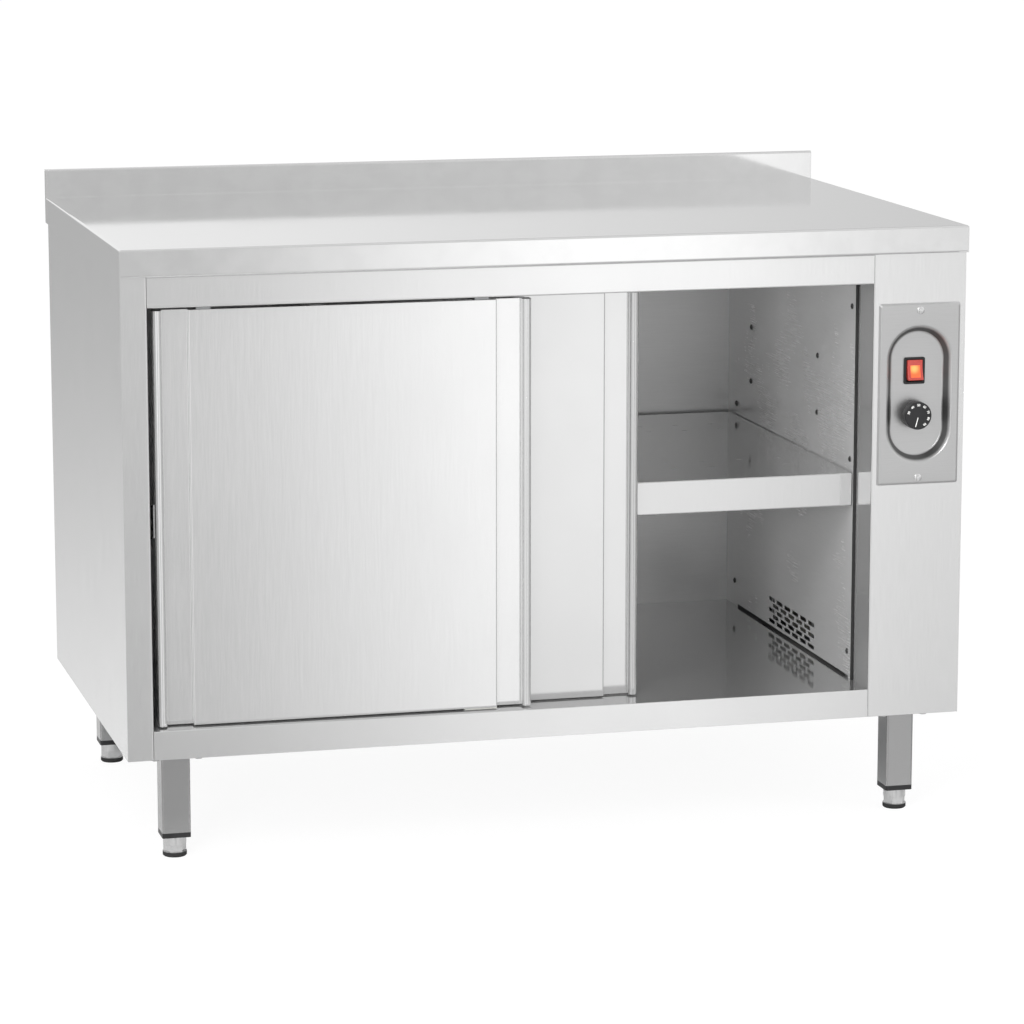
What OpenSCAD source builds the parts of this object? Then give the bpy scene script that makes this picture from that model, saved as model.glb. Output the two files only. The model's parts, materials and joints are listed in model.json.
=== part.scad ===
// Plate warmer cabinet: a stainless steel heated cupboard with two sliding
// doors, one shelf, a control column and four adjustable legs.
// Millimetres, +Z up, front facing -Y. The origin is on the floor, below the
// centre of the worktop.

/* [Worktop] */
// Width of the worktop
top_w = 1200; // [1000:10:1600]
// Depth of the worktop
top_d = 700; // [620:10:800]
// Height of the worktop surface above the floor
work_h = 850; // [800:5:950]
// Height of the folded lips along the front and the sides
lip_h = 38; // [32:1:60]
// Height of the rear upstand above the worktop
upstand_h = 42; // [20:1:100]
// Depth of the folded upstand, front to back
upstand_d = 10; // [6:1:20]
// Sheet thickness of the worktop
top_sheet = 1.5; // [1:0.1:2]
// Thickness of the board under the worktop sheet
core_t = 18; // [12:1:22]
// Outer radius of the worktop's folds
fold_r = 3; // [2:0.5:4]

/* [Body] */
// How far each side of the body stands in from the worktop
side_inset = 1; // [0:0.5:10]
// How far the body's front stands behind the worktop's front
front_inset = 7; // [2:0.5:20]
// How far the body's back stands in from the worktop's back
back_inset = 20; // [12:1:40]
// Height of the body's underside above the floor
under_h = 150; // [120:5:200]
// Sheet thickness of the outer panels
sheet = 1; // [0.8:0.1:1.5]
// Outer radius of the folds in the outer panels and the shelf
bend_r = 2; // [1.5:0.5:3]
// Width of the left jamb
jamb_w = 36; // [30:1:60]
// Width of the control column
column_w = 136; // [130:1:180]
// Height of the top rail
top_rail_h = 42; // [40:1:60]
// Height of the bottom rail
bottom_rail_h = 40; // [34:1:60]
// Depth of the jamb, the column's return and the door space behind the front
frame_d = 63; // [60:1:80]
// Thickness of the left wall, from the outer face to the chamber
side_wall = 21; // [15:1:30]
// Thickness of the back wall, from the outer face to the chamber
back_wall = 16; // [12:1:30]
// Distance from the body's top down to the chamber's ceiling
ceiling_drop = 25; // [22:1:36]
// Sheet thickness of the chamber's liners
liner = 0.8; // [0.6:0.1:1.2]

/* [Air duct] */
// Clear width of the duct between its cover and the partition
duct_w = 43.8; // [42:0.2:60]
// How far the cover stands into the chamber from the column's return
cover_step = 3; // [2:0.5:8]
// Width of the slot between the column's return and the cover
cover_gap = 5; // [3:0.5:10]
// Height of the air slot under the cover
air_slot_h = 4; // [2:0.5:8]
// Gap above the cover, where the duct draws air in
intake_gap = 12; // [8:1:20]
// Slots in the longer rows of the grille
grille_slots = 6; // [3:1:8]
// Rows of slots in the grille
grille_rows = 5; // [3:1:7]
// Length of a grille slot
slot_len = 30; // [16:1:34]
// Height of a grille slot
slot_h = 6.2; // [4:0.1:7]
// Distance from one grille slot to the next
slot_pitch = 37; // [36:0.5:45]
// Distance from one grille row to the next
row_pitch = 8.4; // [8:0.1:12]
// Height of the lowest grille row above the chamber floor
grille_z = 8.5; // [6:0.5:20]
// Distance of the grille's centre from the middle of the depth, to the front
grille_y = 6; // [0:1:40]

/* [Shelf] */
// Height of the shelf's surface above the chamber floor
shelf_h = 302; // [250:1:360]
// Height of the shelf's front lip
shelf_lip = 48; // [30:1:60]
// Depth of the shelf's side flanges
shelf_flange = 12.5; // [8:0.5:20]
// Gap between the shelf and the walls at its sides
shelf_gap = 2; // [1:0.5:6]
// Gap between the shelf and the back wall
shelf_back_gap = 14; // [6:1:40]
// Height from one row of shelf screws to the next
shelf_step = 83.5; // [60:0.5:100]
// Distance from one column of air slots in the shelf to the next
shelf_slot_pitch = 56.5; // [40:0.5:80]
// Length of an air slot in the shelf
shelf_slot_len = 9; // [5:0.5:14]
// Width of an air slot in the shelf
shelf_slot_w = 3; // [2:0.5:5]

/* [Doors] */
// Width of each door
door_w = 526; // [440:1:560]
// Thickness of each door, from the handle bars to the back sheet
door_t = 20; // [18:0.5:22]
// Distance from the front door to the rear door, front to back
door_pitch = 28; // [26:0.5:32]
// How far the handle bars stand behind the body's front
door_inset = 16; // [14:0.5:20]
// Gap under a door
door_gap_low = 2; // [1.5:0.5:4]
// Gap between a door and the top rail
door_gap_high = 6; // [5:0.5:8]
// Gap between a shut door and the jamb or the column's return
door_gap_side = 10; // [8:0.5:14]
// Width of the rolled bar along each upright edge of a door
bar_w = 13; // [10:0.5:16]
// Width of the finger channel beside each bar
channel_w = 36; // [26:1:44]
// Height of the raised panel above the channel floor
panel_rise = 10; // [6:0.5:12]
// Height of a bar above the channel floor
bar_rise = 12.8; // [8:0.1:12.8]
// Sheet thickness of a door
door_sheet = 1; // [0.8:0.1:1.2]
// Outer radius of the folds in a door's skin
door_bend_r = 2; // [1.5:0.5:3]
// How far the rear door stands open at rest
rear_open = 318; // [0:1:470]
// Gap between the fully open front door and the opening's right edge
front_stop = 40; // [10:1:120]
// Distance of a hanger from the door's edge
hanger_inset = 70; // [64:1:120]
// Width of a hanger
hanger_w = 20; // [16:1:30]
// Radius of a door roller
roller_r = 10; // [8:0.5:10]
// Width of one roller wheel
wheel_w = 6; // [4:0.5:6]
// Radius of a roller's axle
axle_r = 2.5; // [2:0.1:3]

/* [Controls] */
// Width of the pressed control plate
plate_w = 121; // [116:1:128]
// Height of the pressed control plate
plate_h = 258; // [250:1:320]
// Height of the control plate's centre above the chamber floor
plate_z = 423; // [380:1:440]
// How far the plate stands proud of the column
plate_rise = 4; // [2:0.5:6]
// Sheet thickness of the control plate
plate_sheet = 1.2; // [1:0.1:1.5]
// Radius of the recess at its rim
recess_rim_r = 47.8; // [46:0.1:50]
// Radius of the recess at its floor
recess_floor_r = 38; // [36:0.5:42]
// Distance between the centres of the recess's round ends
recess_straight = 98.5; // [90:0.5:110]
// Depth of the recess
recess_depth = 13; // [8:0.5:16]
// How far the switch and the knob stand left of the plate's centre
control_offset = 3.5; // [0:0.5:6]
// Height of the switch above the plate's centre
switch_up = 32; // [28:0.5:40]
// Depth of the knob below the plate's centre
knob_down = 29.7; // [24:0.1:40]
// Radius of the knob
knob_r = 20; // [16:0.5:22]
// Height of the knob in front of the recess floor
knob_h = 21.6; // [14:0.1:26]
// Radius of the thermostat's shaft
shaft_r = 3; // [2.5:0.1:3.5]
// Width of the switch's frame
switch_w = 31; // [26:0.5:34]
// Height of the switch's frame
switch_h = 38; // [36:0.5:42]

/* [Legs] */
// Width of the square leg tube
leg_w = 40; // [30:1:50]
// Wall of the leg tube
leg_wall = 1.5; // [1.2:0.1:2]
// How far a leg stands in from the body's side
leg_side_inset = 52; // [50:1:90]
// How far a leg stands in from the body's front and back
leg_front_inset = 38; // [34:1:80]
// Height of the leg tube's lower end above the floor
leg_bottom = 36; // [30:1:45]
// Thickness of the leg's end cap
cap_t = 7; // [4:0.5:10]
// Height of the foot's plastic base
pad_h = 7; // [5:0.5:9]
// Radius of the foot's plastic base
pad_r = 16.8; // [15:0.1:20]
// Radius of the foot's steel collar
collar_r = 16; // [14:0.5:18]
// Radius of the foot's threaded stud
stud_r = 5; // [4:0.5:6]

/* [Hidden] */
$fn = 48;
run_clear = 0.05;        // radial clearance of a shaft in its bore
move_clear = 0.3;        // gap between pieces that slide past each other

// Body box
body_x = top_w / 2 - side_inset;
body_front = -top_d / 2 + front_inset;
body_back = top_d / 2 - back_inset;
body_top = work_h - lip_h;
skin_x = body_x - sheet;
skin_front = body_front + sheet;
skin_back = body_back - sheet;

// Door opening
open_left = -body_x + jamb_w;
open_right = body_x - column_w;
open_low = under_h + bottom_rail_h;
open_high = body_top - top_rail_h;
frame_back = body_front + frame_d;

// Chamber
floor_z = open_low;
ceiling_z = body_top - ceiling_drop;
chamber_left = -body_x + side_wall;
chamber_back = body_back - back_wall;
chamber_front = frame_back + cover_gap;
cover_x = open_right - cover_step;
duct_x = cover_x + sheet;
partition_x = duct_x + duct_w;
cover_top = ceiling_z - intake_gap;

// Doors
door_y = body_front + door_inset;
rear_y = door_y + door_pitch;
door_low = floor_z + door_gap_low;
door_high = open_high - door_gap_high;
front_door_x = open_left + door_gap_side;
rear_door_x = open_right - door_gap_side - door_w - rear_open;
front_travel = open_right - front_stop - door_w - front_door_x; // from shut to its buffer
hang_y = door_t / 2;
strip_v = bar_rise + 0.2;              // channel floor behind the bar's front
panel_v = strip_v - panel_rise;
groove_v = strip_v + door_sheet + 1.2; // groove in the door's underside
groove_w = 3;
groove_h = 9;

// Top track and rollers
track_t = 1.8;
track_half = 10.2;
track_slot = 3.5;
track_low = open_high + 6;
track_top = body_top - sheet;
roller_z = track_low + track_t + move_clear + roller_r;
wheel_gap = 1.1;
hanger_t = 3;

// Floor guides: the rear door's lies where the shut doors overlap
guide_len = 46;
guide_pad_t = 1.2;
rear_guide_x = (open_left + open_right - guide_len) / 2;
front_guide_x = rear_guide_x - guide_len - 3;

// Shelf
shelf_z = floor_z + shelf_h;
shelf_front = chamber_front;
shelf_back = chamber_back - shelf_back_gap;
shelf_left = chamber_left + shelf_gap;
shelf_right = cover_x - shelf_gap;
bracket_w = 40;
bracket_reach = 30;
bracket_top = shelf_z - shelf_flange;
bracket_leg = 18;
shelf_screw_z = bracket_top - 8.5;
shelf_screw_ys = [chamber_front + 161, chamber_back - 115];
shelf_slot_ys = [-178, -129, 142, 191];
screw_head_r = 4.2;
screw_head_h = 2.4;
cover_screw_ys = [chamber_front + 13, chamber_back - 44];
cover_screw_zs = [floor_z + 39, floor_z + 319.5, floor_z + 539];

// Controls
plate_x = (open_right + body_x) / 2;
plate_cz = floor_z + plate_z;
plate_front = body_front - plate_rise;
recess_y = plate_front + recess_depth;
control_x = plate_x - control_offset;
switch_z = plate_cz + switch_up;
knob_z = plate_cz - knob_down;
plate_bevel = 3;
plate_screw_dz = plate_h / 2 - 10;
knob_gap = 0.6;
flange_t = 2.5;
rocker_w = 23;
rocker_gap = 0.5;
rocker_pin_r = 1.5;
rocker_pin_len = rocker_w + 2 * rocker_gap + 1.6;
pivot_v = 2.5;           // rocker's pivot behind the switch frame's front
rocker_tilt = 12;

// Blower and heater behind the grille
grille_mid_y = (chamber_front + chamber_back) / 2 - grille_y - 20;
duct_mid_x = duct_x + duct_w / 2;
rotor_r = 18;
rotor_len = 180;
rotor_z = floor_z + 104;
heater_z = floor_z + 34;
heater_len = 190;
fin_r = 11;
fin_pitch = 6;
end_plate_t = 2;

// Legs
leg_x = body_x - leg_side_inset - leg_w / 2;
leg_front_y = body_front + leg_front_inset + leg_w / 2;
leg_back_y = body_back - leg_front_inset - leg_w / 2;
leg_plate = 80;
leg_plate_t = 3;
bolt_off = 30;
bolt_r = 3;
base_gap = 13.8;         // height of the hat sections under the floor
stiffener_pitch = 270;   // distance between these hat sections

steel = "#c9cccd";
dark_steel = "#8d9192";
black = "#1d1e1f";
foam = "#d9c98a";

// ---- Shared shapes ----

// A block between two corners
module block(low, high) {
    translate(low) cube(high - low);
}

// A folded sheet's section. The path runs along the middle of the sheet and turns
// by right angles; each turn is bent to the outer radius r.
module folded(path, t, r) {
    bend = r - t / 2;
    last = len(path) - 1;
    ways = [for (i = [0 : last - 1]) (path[i + 1] - path[i]) / norm(path[i + 1] - path[i])];
    for (i = [0 : last - 1]) {
        from = path[i] + (i > 0 ? bend : 0) * ways[i];
        to = path[i + 1] - (i < last - 1 ? bend : 0) * ways[i];
        across = [-ways[i].y, ways[i].x] * t / 2;
        polygon([from - across, to - across, to + across, from + across]);
    }
    for (i = [1 : last - 1])
        translate(path[i] + bend * (ways[i] - ways[i - 1])) intersection() {
            difference() {
                circle(r);
                circle(r - t);
            }
            polygon([[0, 0], r * ways[i - 1], r * (ways[i - 1] - ways[i]), -r * ways[i]]);
        }
}

// An upright rectangle's outline between two sides, with rounded upper corners
module arch(x0, x1, low, high, r) {
    translate([x0, low]) square([x1 - x0, high - low - r]);
    translate([x0 + r, low]) square([x1 - x0 - 2 * r, high - low]);
    for (x = [x0 + r, x1 - r]) translate([x, high - r]) circle(r);
}

// A square tube's outline, with rounded corners
module rounded_square(w, r) {
    square([w - 2 * r, w], center = true);
    square([w, w - 2 * r], center = true);
    for (sx = [-1, 1], sy = [-1, 1])
        translate([sx * (w / 2 - r), sy * (w / 2 - r)]) circle(r);
}

// A slot with round ends along X, centred
module slot_outline(len, w) {
    square([len - w, w], center = true);
    for (s = [-1, 1]) translate([s * (len - w) / 2, 0]) circle(w / 2);
}

// An extruded outline whose plane is Y-Z and whose thickness runs along X
module sideways(x0, x1) {
    translate([x0, 0, 0]) rotate([90, 0, 90]) linear_extrude(x1 - x0) children();
}

// A straight-sided stadium that narrows from r0 at z = 0 to r1 at z = h
module stadium_taper(straight, r0, r1, h) {
    for (s = [-1, 1])
        translate([0, s * straight / 2, 0]) cylinder(h = h, r1 = r0, r2 = r1);
    rotate([90, 0, 0]) linear_extrude(straight, center = true)
        polygon([[-r0, 0], [r0, 0], [r1, h], [-r1, h]]);
}

// A rectangular block whose four sides lean in by lean over its height
module leaning_block(w, len, h, lean) {
    intersection() {
        rotate([90, 0, 0]) linear_extrude(len, center = true)
            polygon([[-w / 2, 0], [w / 2, 0], [w / 2 - lean, h], [lean - w / 2, h]]);
        rotate([90, 0, 90]) linear_extrude(w, center = true)
            polygon([[-len / 2, 0], [len / 2, 0], [len / 2 - lean, h], [lean - len / 2, h]]);
    }
}

// A hat-section stiffener's outline: open below, flanges on both sides
module hat_outline(w, h, t, flange) {
    translate([-w / 2, h - t]) square([w, t]);
    for (s = [-1, 1]) {
        translate([s * (w / 2 - t / 2) - t / 2, 0]) square([t, h]);
        translate([s * (w / 2 + flange / 2) - flange / 2, 0]) square([flange, t]);
    }
}

// A pan-head screw's head, standing along +Z from z = 0, with a cross recess
module pan_head(r, h) {
    difference() {
        union() {
            cylinder(h = h * 0.55, r = r);
            translate([0, 0, h * 0.55]) cylinder(h = h * 0.45, r1 = r, r2 = r * 0.7);
        }
        for (a = [0, 90]) rotate(a)
            translate([-r * 0.5, -r * 0.09, h * 0.5]) cube([r, r * 0.18, h]);
    }
}

// ---- Worktop ----

hem = 14;                // sheet turned in under the lips

// The worktop's section across its depth: hem, lip, top, upstand and rear lip
module worktop_section() {
    half = top_sheet / 2;
    front = -top_d / 2 + half;
    back = top_d / 2 - half;
    low = body_top + half;
    top = work_h - half;
    face = back - upstand_d + top_sheet;
    up = top + upstand_h;
    folded([[front + hem - half, low], [front, low], [front, top], [face, top], [face, up],
            [back, up], [back, low], [back - hem + half, low]], top_sheet, fold_r);
}

// The shape of the worktop's ends: the section's outer outline, filled
module worktop_end() {
    arch(-top_d / 2, top_d / 2, body_top, work_h, fold_r);
    arch(top_d / 2 - upstand_d, top_d / 2, body_top, work_h + upstand_h, fold_r);
}

module worktop() {
    w = top_w / 2;
    color(steel) intersection() {
        union() {
            sideways(-w, w) worktop_section();
            for (x = [-w, w - top_sheet]) sideways(x, x + top_sheet) worktop_end();
            for (x = [-w, w - hem])
                block([x, -top_d / 2, body_top], [x + hem, top_d / 2, body_top + top_sheet]);
        }
        // rounds the folds of the side lips
        union() {
            rotate([90, 0, 0]) linear_extrude(top_d, center = true)
                arch(-w, w, body_top, work_h, fold_r);
            block([-w, top_d / 2 - upstand_d, body_top], [w, top_d / 2, work_h + upstand_h]);
        }
    }
}

core_low = work_h - top_sheet - core_t;

module worktop_core() {
    inset = 4;
    color("#b79c73")
        block([-top_w / 2 + inset, -top_d / 2 + inset, core_low],
              [top_w / 2 - inset, top_d / 2 - inset, work_h - top_sheet]);
}

// Two hat sections between the body's top flanges and the board
module worktop_stiffeners() {
    h = core_low - body_top;
    color(steel)
        for (y = [-top_d / 4, top_d / 4])
            translate([0, y, body_top]) sideways(-body_x + 16, body_x - 16)
                hat_outline(70, h, sheet, 20);
}

// ---- Outer panels ----

side_flange = 15;
flange_low = 20;         // height at which the side panels' rear flanges start

module side_panel(s) {
    color(steel) {
        block([min(s * body_x, s * skin_x), skin_front, under_h],
              [max(s * body_x, s * skin_x), body_back, body_top]);
        inner = s * (skin_x - side_flange);
        // flange under the worktop
        block([min(s * skin_x, inner), frame_back + 1, body_top - sheet],
              [max(s * skin_x, inner), skin_back - sheet - 1, body_top]);
        // flange behind the back panel
        block([min(s * skin_x, inner), skin_back - sheet, under_h + flange_low],
              [max(s * skin_x, inner), skin_back, body_top]);
    }
}

module left_side_panel() { side_panel(-1); }
module right_side_panel() { side_panel(1); }

// An upright post's folded sheet: its section in plan, and below it the part of
// the face that covers the base panel's edge, between x0 and x1
module post(path, x0, x1) {
    translate([0, 0, under_h + sheet]) linear_extrude(body_top - under_h - sheet)
        folded(path, sheet, bend_r);
    block([x0, body_front, under_h], [x1, skin_front, under_h + sheet]);
}

face_y = body_front + sheet / 2;         // middle of the front sheets
rear_fold_y = frame_back - sheet / 2;    // middle of the posts' rear folds

// The jamb is a box section: face, return along the door space and rear fold
module left_jamb() {
    inner = open_left - sheet / 2;
    color(steel)
        post([[-body_x, face_y], [inner, face_y], [inner, rear_fold_y], [-skin_x, rear_fold_y]],
             -body_x, open_left - bend_r);
}

// The column's face, its return along the door space, and two folds
module control_column() {
    hole_clear = 3;
    fold = 16;
    inner = open_right + sheet / 2;
    color(steel) {
        difference() {
            post([[body_x, face_y], [inner, face_y], [inner, rear_fold_y],
                  [open_right + fold, rear_fold_y]], open_right + bend_r, body_x);
            translate([plate_x, skin_front + 1, plate_cz]) rotate([90, 0, 0])
                stadium_taper(recess_straight, recess_rim_r + hole_clear,
                              recess_rim_r + hole_clear, sheet + 2);
            for (s = [-1, 1])
                translate([plate_x, skin_front + 1, plate_cz + s * plate_screw_dz])
                    rotate([90, 0, 0]) cylinder(h = sheet + 2, r = 1.7);
        }
        block([skin_x - sheet, skin_front, under_h + sheet],
              [skin_x, skin_front + fold, body_top]);
    }
}

gland_x = body_x - 46;
gland_z = under_h + 76;
gland_hole_r = 10;

module back_panel() {
    color(steel) difference() {
        block([-skin_x, skin_back, under_h], [skin_x, body_back, body_top]);
        translate([gland_x, body_back + 1, gland_z]) rotate([90, 0, 0])
            cylinder(h = sheet + 2, r = gland_hole_r + 0.3);
    }
}

module base_panel() {
    rim = 14;
    color(steel) difference() {
        union() {
            block([-skin_x, skin_front, under_h], [skin_x, skin_back, under_h + sheet]);
            for (s = [-1, 1])
                block([min(s * skin_x, s * (skin_x - sheet)), frame_back + 1, under_h],
                      [max(s * skin_x, s * (skin_x - sheet)), skin_back, under_h + rim]);
            block([-skin_x, skin_back - sheet, under_h], [skin_x, skin_back, under_h + rim]);
        }
        for (p = bolt_places())
            translate([p.x, p.y, under_h - 1]) cylinder(h = sheet + 2, r = bolt_r + 0.5);
    }
}

// Three hat sections that carry the chamber floor
stiffener_w = 60;
stiffener_flange = 16;
stiffener_inset = 20; // from the front and back skins

module base_stiffeners() {
    color(dark_steel)
        for (i = [-1 : 1])
            translate([i * stiffener_pitch, 0, under_h + sheet]) rotate([0, 0, 90])
                sideways(skin_front + stiffener_inset, skin_back - stiffener_inset)
                    hat_outline(stiffener_w, base_gap, sheet, stiffener_flange);
}

// Folded back under the worktop, and at its lower edge over the door gap
module top_rail() {
    fold = 7;
    low = open_high + sheet / 2;
    high = body_top - sheet / 2;
    color(steel) sideways(open_left, open_right)
        folded([[skin_front + fold, low], [face_y, low], [face_y, high], [frame_back + 1, high]],
               sheet, bend_r);
}

// The rail's face is ground round where the chamber floor meets it
module bottom_rail() {
    fold = 15;
    color(steel) sideways(open_left, open_right) {
        translate([body_front, under_h]) square([sheet, open_low - under_h - sheet]);
        translate([skin_front, open_low - sheet]) intersection() {
            circle(sheet);
            translate([-sheet, 0]) square(sheet);
        }
        for (z = [open_low - 2 * sheet, under_h + sheet])
            translate([skin_front, z]) square([fold, sheet]);
    }
}

// ---- Chamber ----

// Holes for the shelf's screws: two columns of three, for three shelf heights
module shelf_screw_holes(x, depth) {
    for (y = shelf_screw_ys, k = [0 : 2])
        translate([x, y, shelf_screw_z + k * shelf_step])
            rotate([0, 90, 0]) cylinder(h = depth, r = 2.3);
}

module floor_liner() {
    color(steel)
        translate([0, 0, floor_z - sheet]) linear_extrude(sheet) polygon([
            [open_left, skin_front], [open_right, skin_front],
            [open_right, frame_back], [partition_x, frame_back],
            [partition_x, chamber_back], [chamber_left, chamber_back],
            [chamber_left, frame_back], [open_left, frame_back]]);
}

module left_liner() {
    color(steel) difference() {
        block([chamber_left - liner, frame_back, floor_z - sheet],
              [chamber_left, chamber_back, ceiling_z]);
        shelf_screw_holes(chamber_left - liner - 1, liner + 2);
    }
}

module back_liner() {
    color(steel)
        block([chamber_left - liner, chamber_back, floor_z - sheet],
              [partition_x, chamber_back + liner, ceiling_z + liner]);
}

module ceiling_liner() {
    front = chamber_front - 1;
    color(steel) {
        block([chamber_left - liner, front, ceiling_z],
              [partition_x, chamber_back, ceiling_z + liner]);
        block([chamber_left - liner, front, ceiling_z + liner],
              [open_right, front + liner, body_top - sheet]);
    }
}

// Four mineral-wool slabs: left wall, back wall, under the floor, above the ceiling
module insulation() {
    edge = 3;
    color(foam) {
        block([-skin_x, frame_back + 1, under_h + flange_low],
              [chamber_left - liner, chamber_back - edge, body_top - sheet]);
        block([chamber_left + edge, chamber_back + liner, under_h + flange_low],
              [partition_x - edge, skin_back - sheet, body_top - edge]);
        block([chamber_left + edge, frame_back + edge, under_h + sheet + base_gap],
              [open_right - edge, chamber_back - edge, floor_z - sheet]);
        block([chamber_left + edge, chamber_front + edge, ceiling_z + liner],
              [open_right - edge, chamber_back - edge, body_top - sheet - 0.5]);
    }
}

// ---- Air duct ----

module duct_partition() {
    wall = sheet;
    edge_gap = 2;
    color(steel) difference() {
        block([partition_x, frame_back, under_h + sheet],
              [partition_x + wall, chamber_back + liner, body_top - edge_gap]);
        // grommet hole for the thermostat's capillary
        translate([partition_x - 1, bulb_y, bulb_z]) rotate([0, 90, 0])
            cylinder(h = wall + 2, r = 4);
    }
}

// A row of the brick-pattern grille: long rows and short rows take turns
module grille_row(row) {
    count = grille_slots - row % 2;
    for (i = [0 : count - 1])
        translate([(i - (count - 1) / 2) * slot_pitch, 0]) slot_outline(slot_len, slot_h);
}

module grille_outline() {
    for (row = [0 : grille_rows - 1])
        translate([0, (grille_rows - 1 - row) * row_pitch + slot_h / 2]) grille_row(row);
}

module duct_cover() {
    notch_front = chamber_front + 9;
    notch_back = chamber_back - 60;
    lip = 12;
    color(steel) difference() {
        union() {
            block([cover_x, chamber_front, floor_z], [duct_x, chamber_back, cover_top]);
            // front and top edges turned into the duct
            block([cover_x, chamber_front, floor_z],
                  [duct_x + lip, chamber_front + sheet, cover_top]);
            block([cover_x, chamber_front, cover_top - sheet],
                  [duct_x + lip, chamber_back - 1, cover_top]);
        }
        // air slot along the floor
        block([cover_x - 1, notch_front, floor_z - 1],
              [duct_x + 1, notch_back, floor_z + air_slot_h]);
        sideways(cover_x - 1, duct_x + 1)
            translate([grille_mid_y, floor_z + grille_z]) grille_outline();
        for (y = cover_screw_ys, z = cover_screw_zs)
            translate([cover_x - 1, y, z]) rotate([0, 90, 0]) cylinder(h = sheet + 2, r = 2.3);
        shelf_screw_holes(cover_x - 1, sheet + 2);
    }
}

// Two channels between the cover and the partition, which the cover screws into
module duct_posts() {
    w = 16;
    color(dark_steel)
        for (y = cover_screw_ys) {
            low = y - w / 2 + (y < 0 ? 4 : 0);
            difference() {
                block([duct_x, low, floor_z], [partition_x, low + w, cover_top - sheet]);
                block([duct_x + sheet, low + sheet, floor_z - 1],
                      [partition_x - sheet, low + w + 1, ceiling_z]);
                for (z = cover_screw_zs)
                    translate([duct_x - 1, y, z]) rotate([0, 90, 0])
                        cylinder(h = sheet + 2, r = 2.05);
            }
        }
}

// A pan-head screw whose head lies on a wall at x and points along -X times s
module wall_screw(x, y, z, s, shank) {
    translate([x, y, z]) rotate([0, s * 90, 0]) {
        pan_head(screw_head_r, screw_head_h);
        translate([0, 0, -shank]) cylinder(h = shank + 0.5, r = 2);
    }
}

// Screws of the duct cover, and the shelf's support screws in both side walls
module chamber_screws() {
    color(dark_steel) {
        for (y = cover_screw_ys, z = cover_screw_zs) wall_screw(cover_x, y, z, -1, 2 * sheet);
        for (y = shelf_screw_ys, k = [0 : 2]) {
            on_bracket = k == 0 ? sheet : 0;
            z = shelf_screw_z + k * shelf_step;
            wall_screw(cover_x - on_bracket, y, z, -1, sheet + on_bracket);
            wall_screw(chamber_left + on_bracket, y, z, 1, liner + on_bracket);
        }
    }
}

// ---- Shelf ----

module shelf() {
    lip_hem = 12;
    rear_lip = 30;
    hat_h = 20;
    top = shelf_z - sheet / 2;
    front = shelf_front + sheet / 2;
    low = shelf_z - shelf_lip + sheet / 2;
    back = shelf_back - sheet / 2;
    count = floor((shelf_right - shelf_left - 60) / shelf_slot_pitch);
    first = (shelf_left + shelf_right) / 2 - (count - 1) / 2 * shelf_slot_pitch;
    color(steel) {
        difference() {
            // lip with its hem, top and rear lip
            sideways(shelf_left, shelf_right)
                folded([[shelf_front + lip_hem, low], [front, low], [front, top], [back, top],
                        [back, shelf_z - rear_lip]], sheet, bend_r);
            for (i = [0 : count - 1], y = shelf_slot_ys)
                translate([first + i * shelf_slot_pitch, y, shelf_z - sheet - 1])
                    linear_extrude(sheet + 2) slot_outline(shelf_slot_len, shelf_slot_w);
        }
        // side flanges
        for (x = [shelf_left, shelf_right - sheet])
            block([x, shelf_front + sheet, bracket_top],
                  [x + sheet, shelf_back - sheet, shelf_z - sheet]);
        // hat section welded under the middle
        translate([0, (shelf_front + shelf_back) / 2, shelf_z - sheet - hat_h])
            mirror([0, 0, 1]) translate([0, 0, -hat_h])
                sideways(shelf_left + 45, shelf_right - 45) hat_outline(60, hat_h, sheet, 16);
    }
}

// An L bracket that the shelf's side flange rests on; s is the wall's side
module shelf_bracket(x, y, s) {
    inner = x - s * sheet;
    reach = x - s * bracket_reach;
    difference() {
        block([min(x, inner), y - bracket_w / 2, bracket_top - bracket_leg],
              [max(x, inner), y + bracket_w / 2, bracket_top]);
        translate([x, y, shelf_screw_z]) rotate([0, 90, 0])
            cylinder(h = 4 * sheet, r = 2.3, center = true);
    }
    block([min(inner, reach), y - bracket_w / 2, bracket_top - sheet],
          [max(inner, reach), y + bracket_w / 2, bracket_top]);
}

module shelf_brackets() {
    color(dark_steel)
        for (y = shelf_screw_ys) {
            shelf_bracket(cover_x, y, 1);
            shelf_bracket(chamber_left, y, -1);
        }
}

// ---- Door running gear ----

// Section of one track channel about a door's middle plane
module track_channel() {
    inner_top = track_top - track_t;
    translate([-track_half - track_t, inner_top]) square([2 * (track_half + track_t), track_t]);
    for (s = [-1, 1]) {
        translate([s * (track_half + track_t / 2) - track_t / 2, track_low])
            square([track_t, track_top - track_low]);
        lip = track_half - track_slot;
        translate([s * (track_slot + lip / 2) - lip / 2, track_low]) square([lip, track_t]);
    }
}

module top_track() {
    bridge = door_pitch - 2 * track_half;
    color("#b9bdbf") sideways(open_left + 0.5, open_right - 0.5) {
        translate([door_y + hang_y, 0]) track_channel();
        translate([rear_y + hang_y, 0]) track_channel();
        // web that joins the two channels
        translate([door_y + hang_y + track_half, track_top - track_t]) square([bridge, track_t]);
    }
}

// The floor guides: under each door a pad with a fin in the door's groove
module door_guide() {
    pad_front = 6;
    pad_back = 1;
    fin_inset = 6;
    fin_t = groove_w - 2 * move_clear;
    fin_top = door_low + groove_h - 2;
    color("#e4e5e3")
        for (place = [[front_guide_x, door_y], [rear_guide_x, rear_y]]) {
            fin_y = place.y + groove_v + move_clear;
            block([place.x, place.y + pad_front, floor_z],
                  [place.x + guide_len, place.y + door_t - pad_back, floor_z + guide_pad_t]);
            block([place.x + fin_inset, fin_y, floor_z],
                  [place.x + guide_len - fin_inset, fin_y + fin_t, fin_top]);
        }
}

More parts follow.
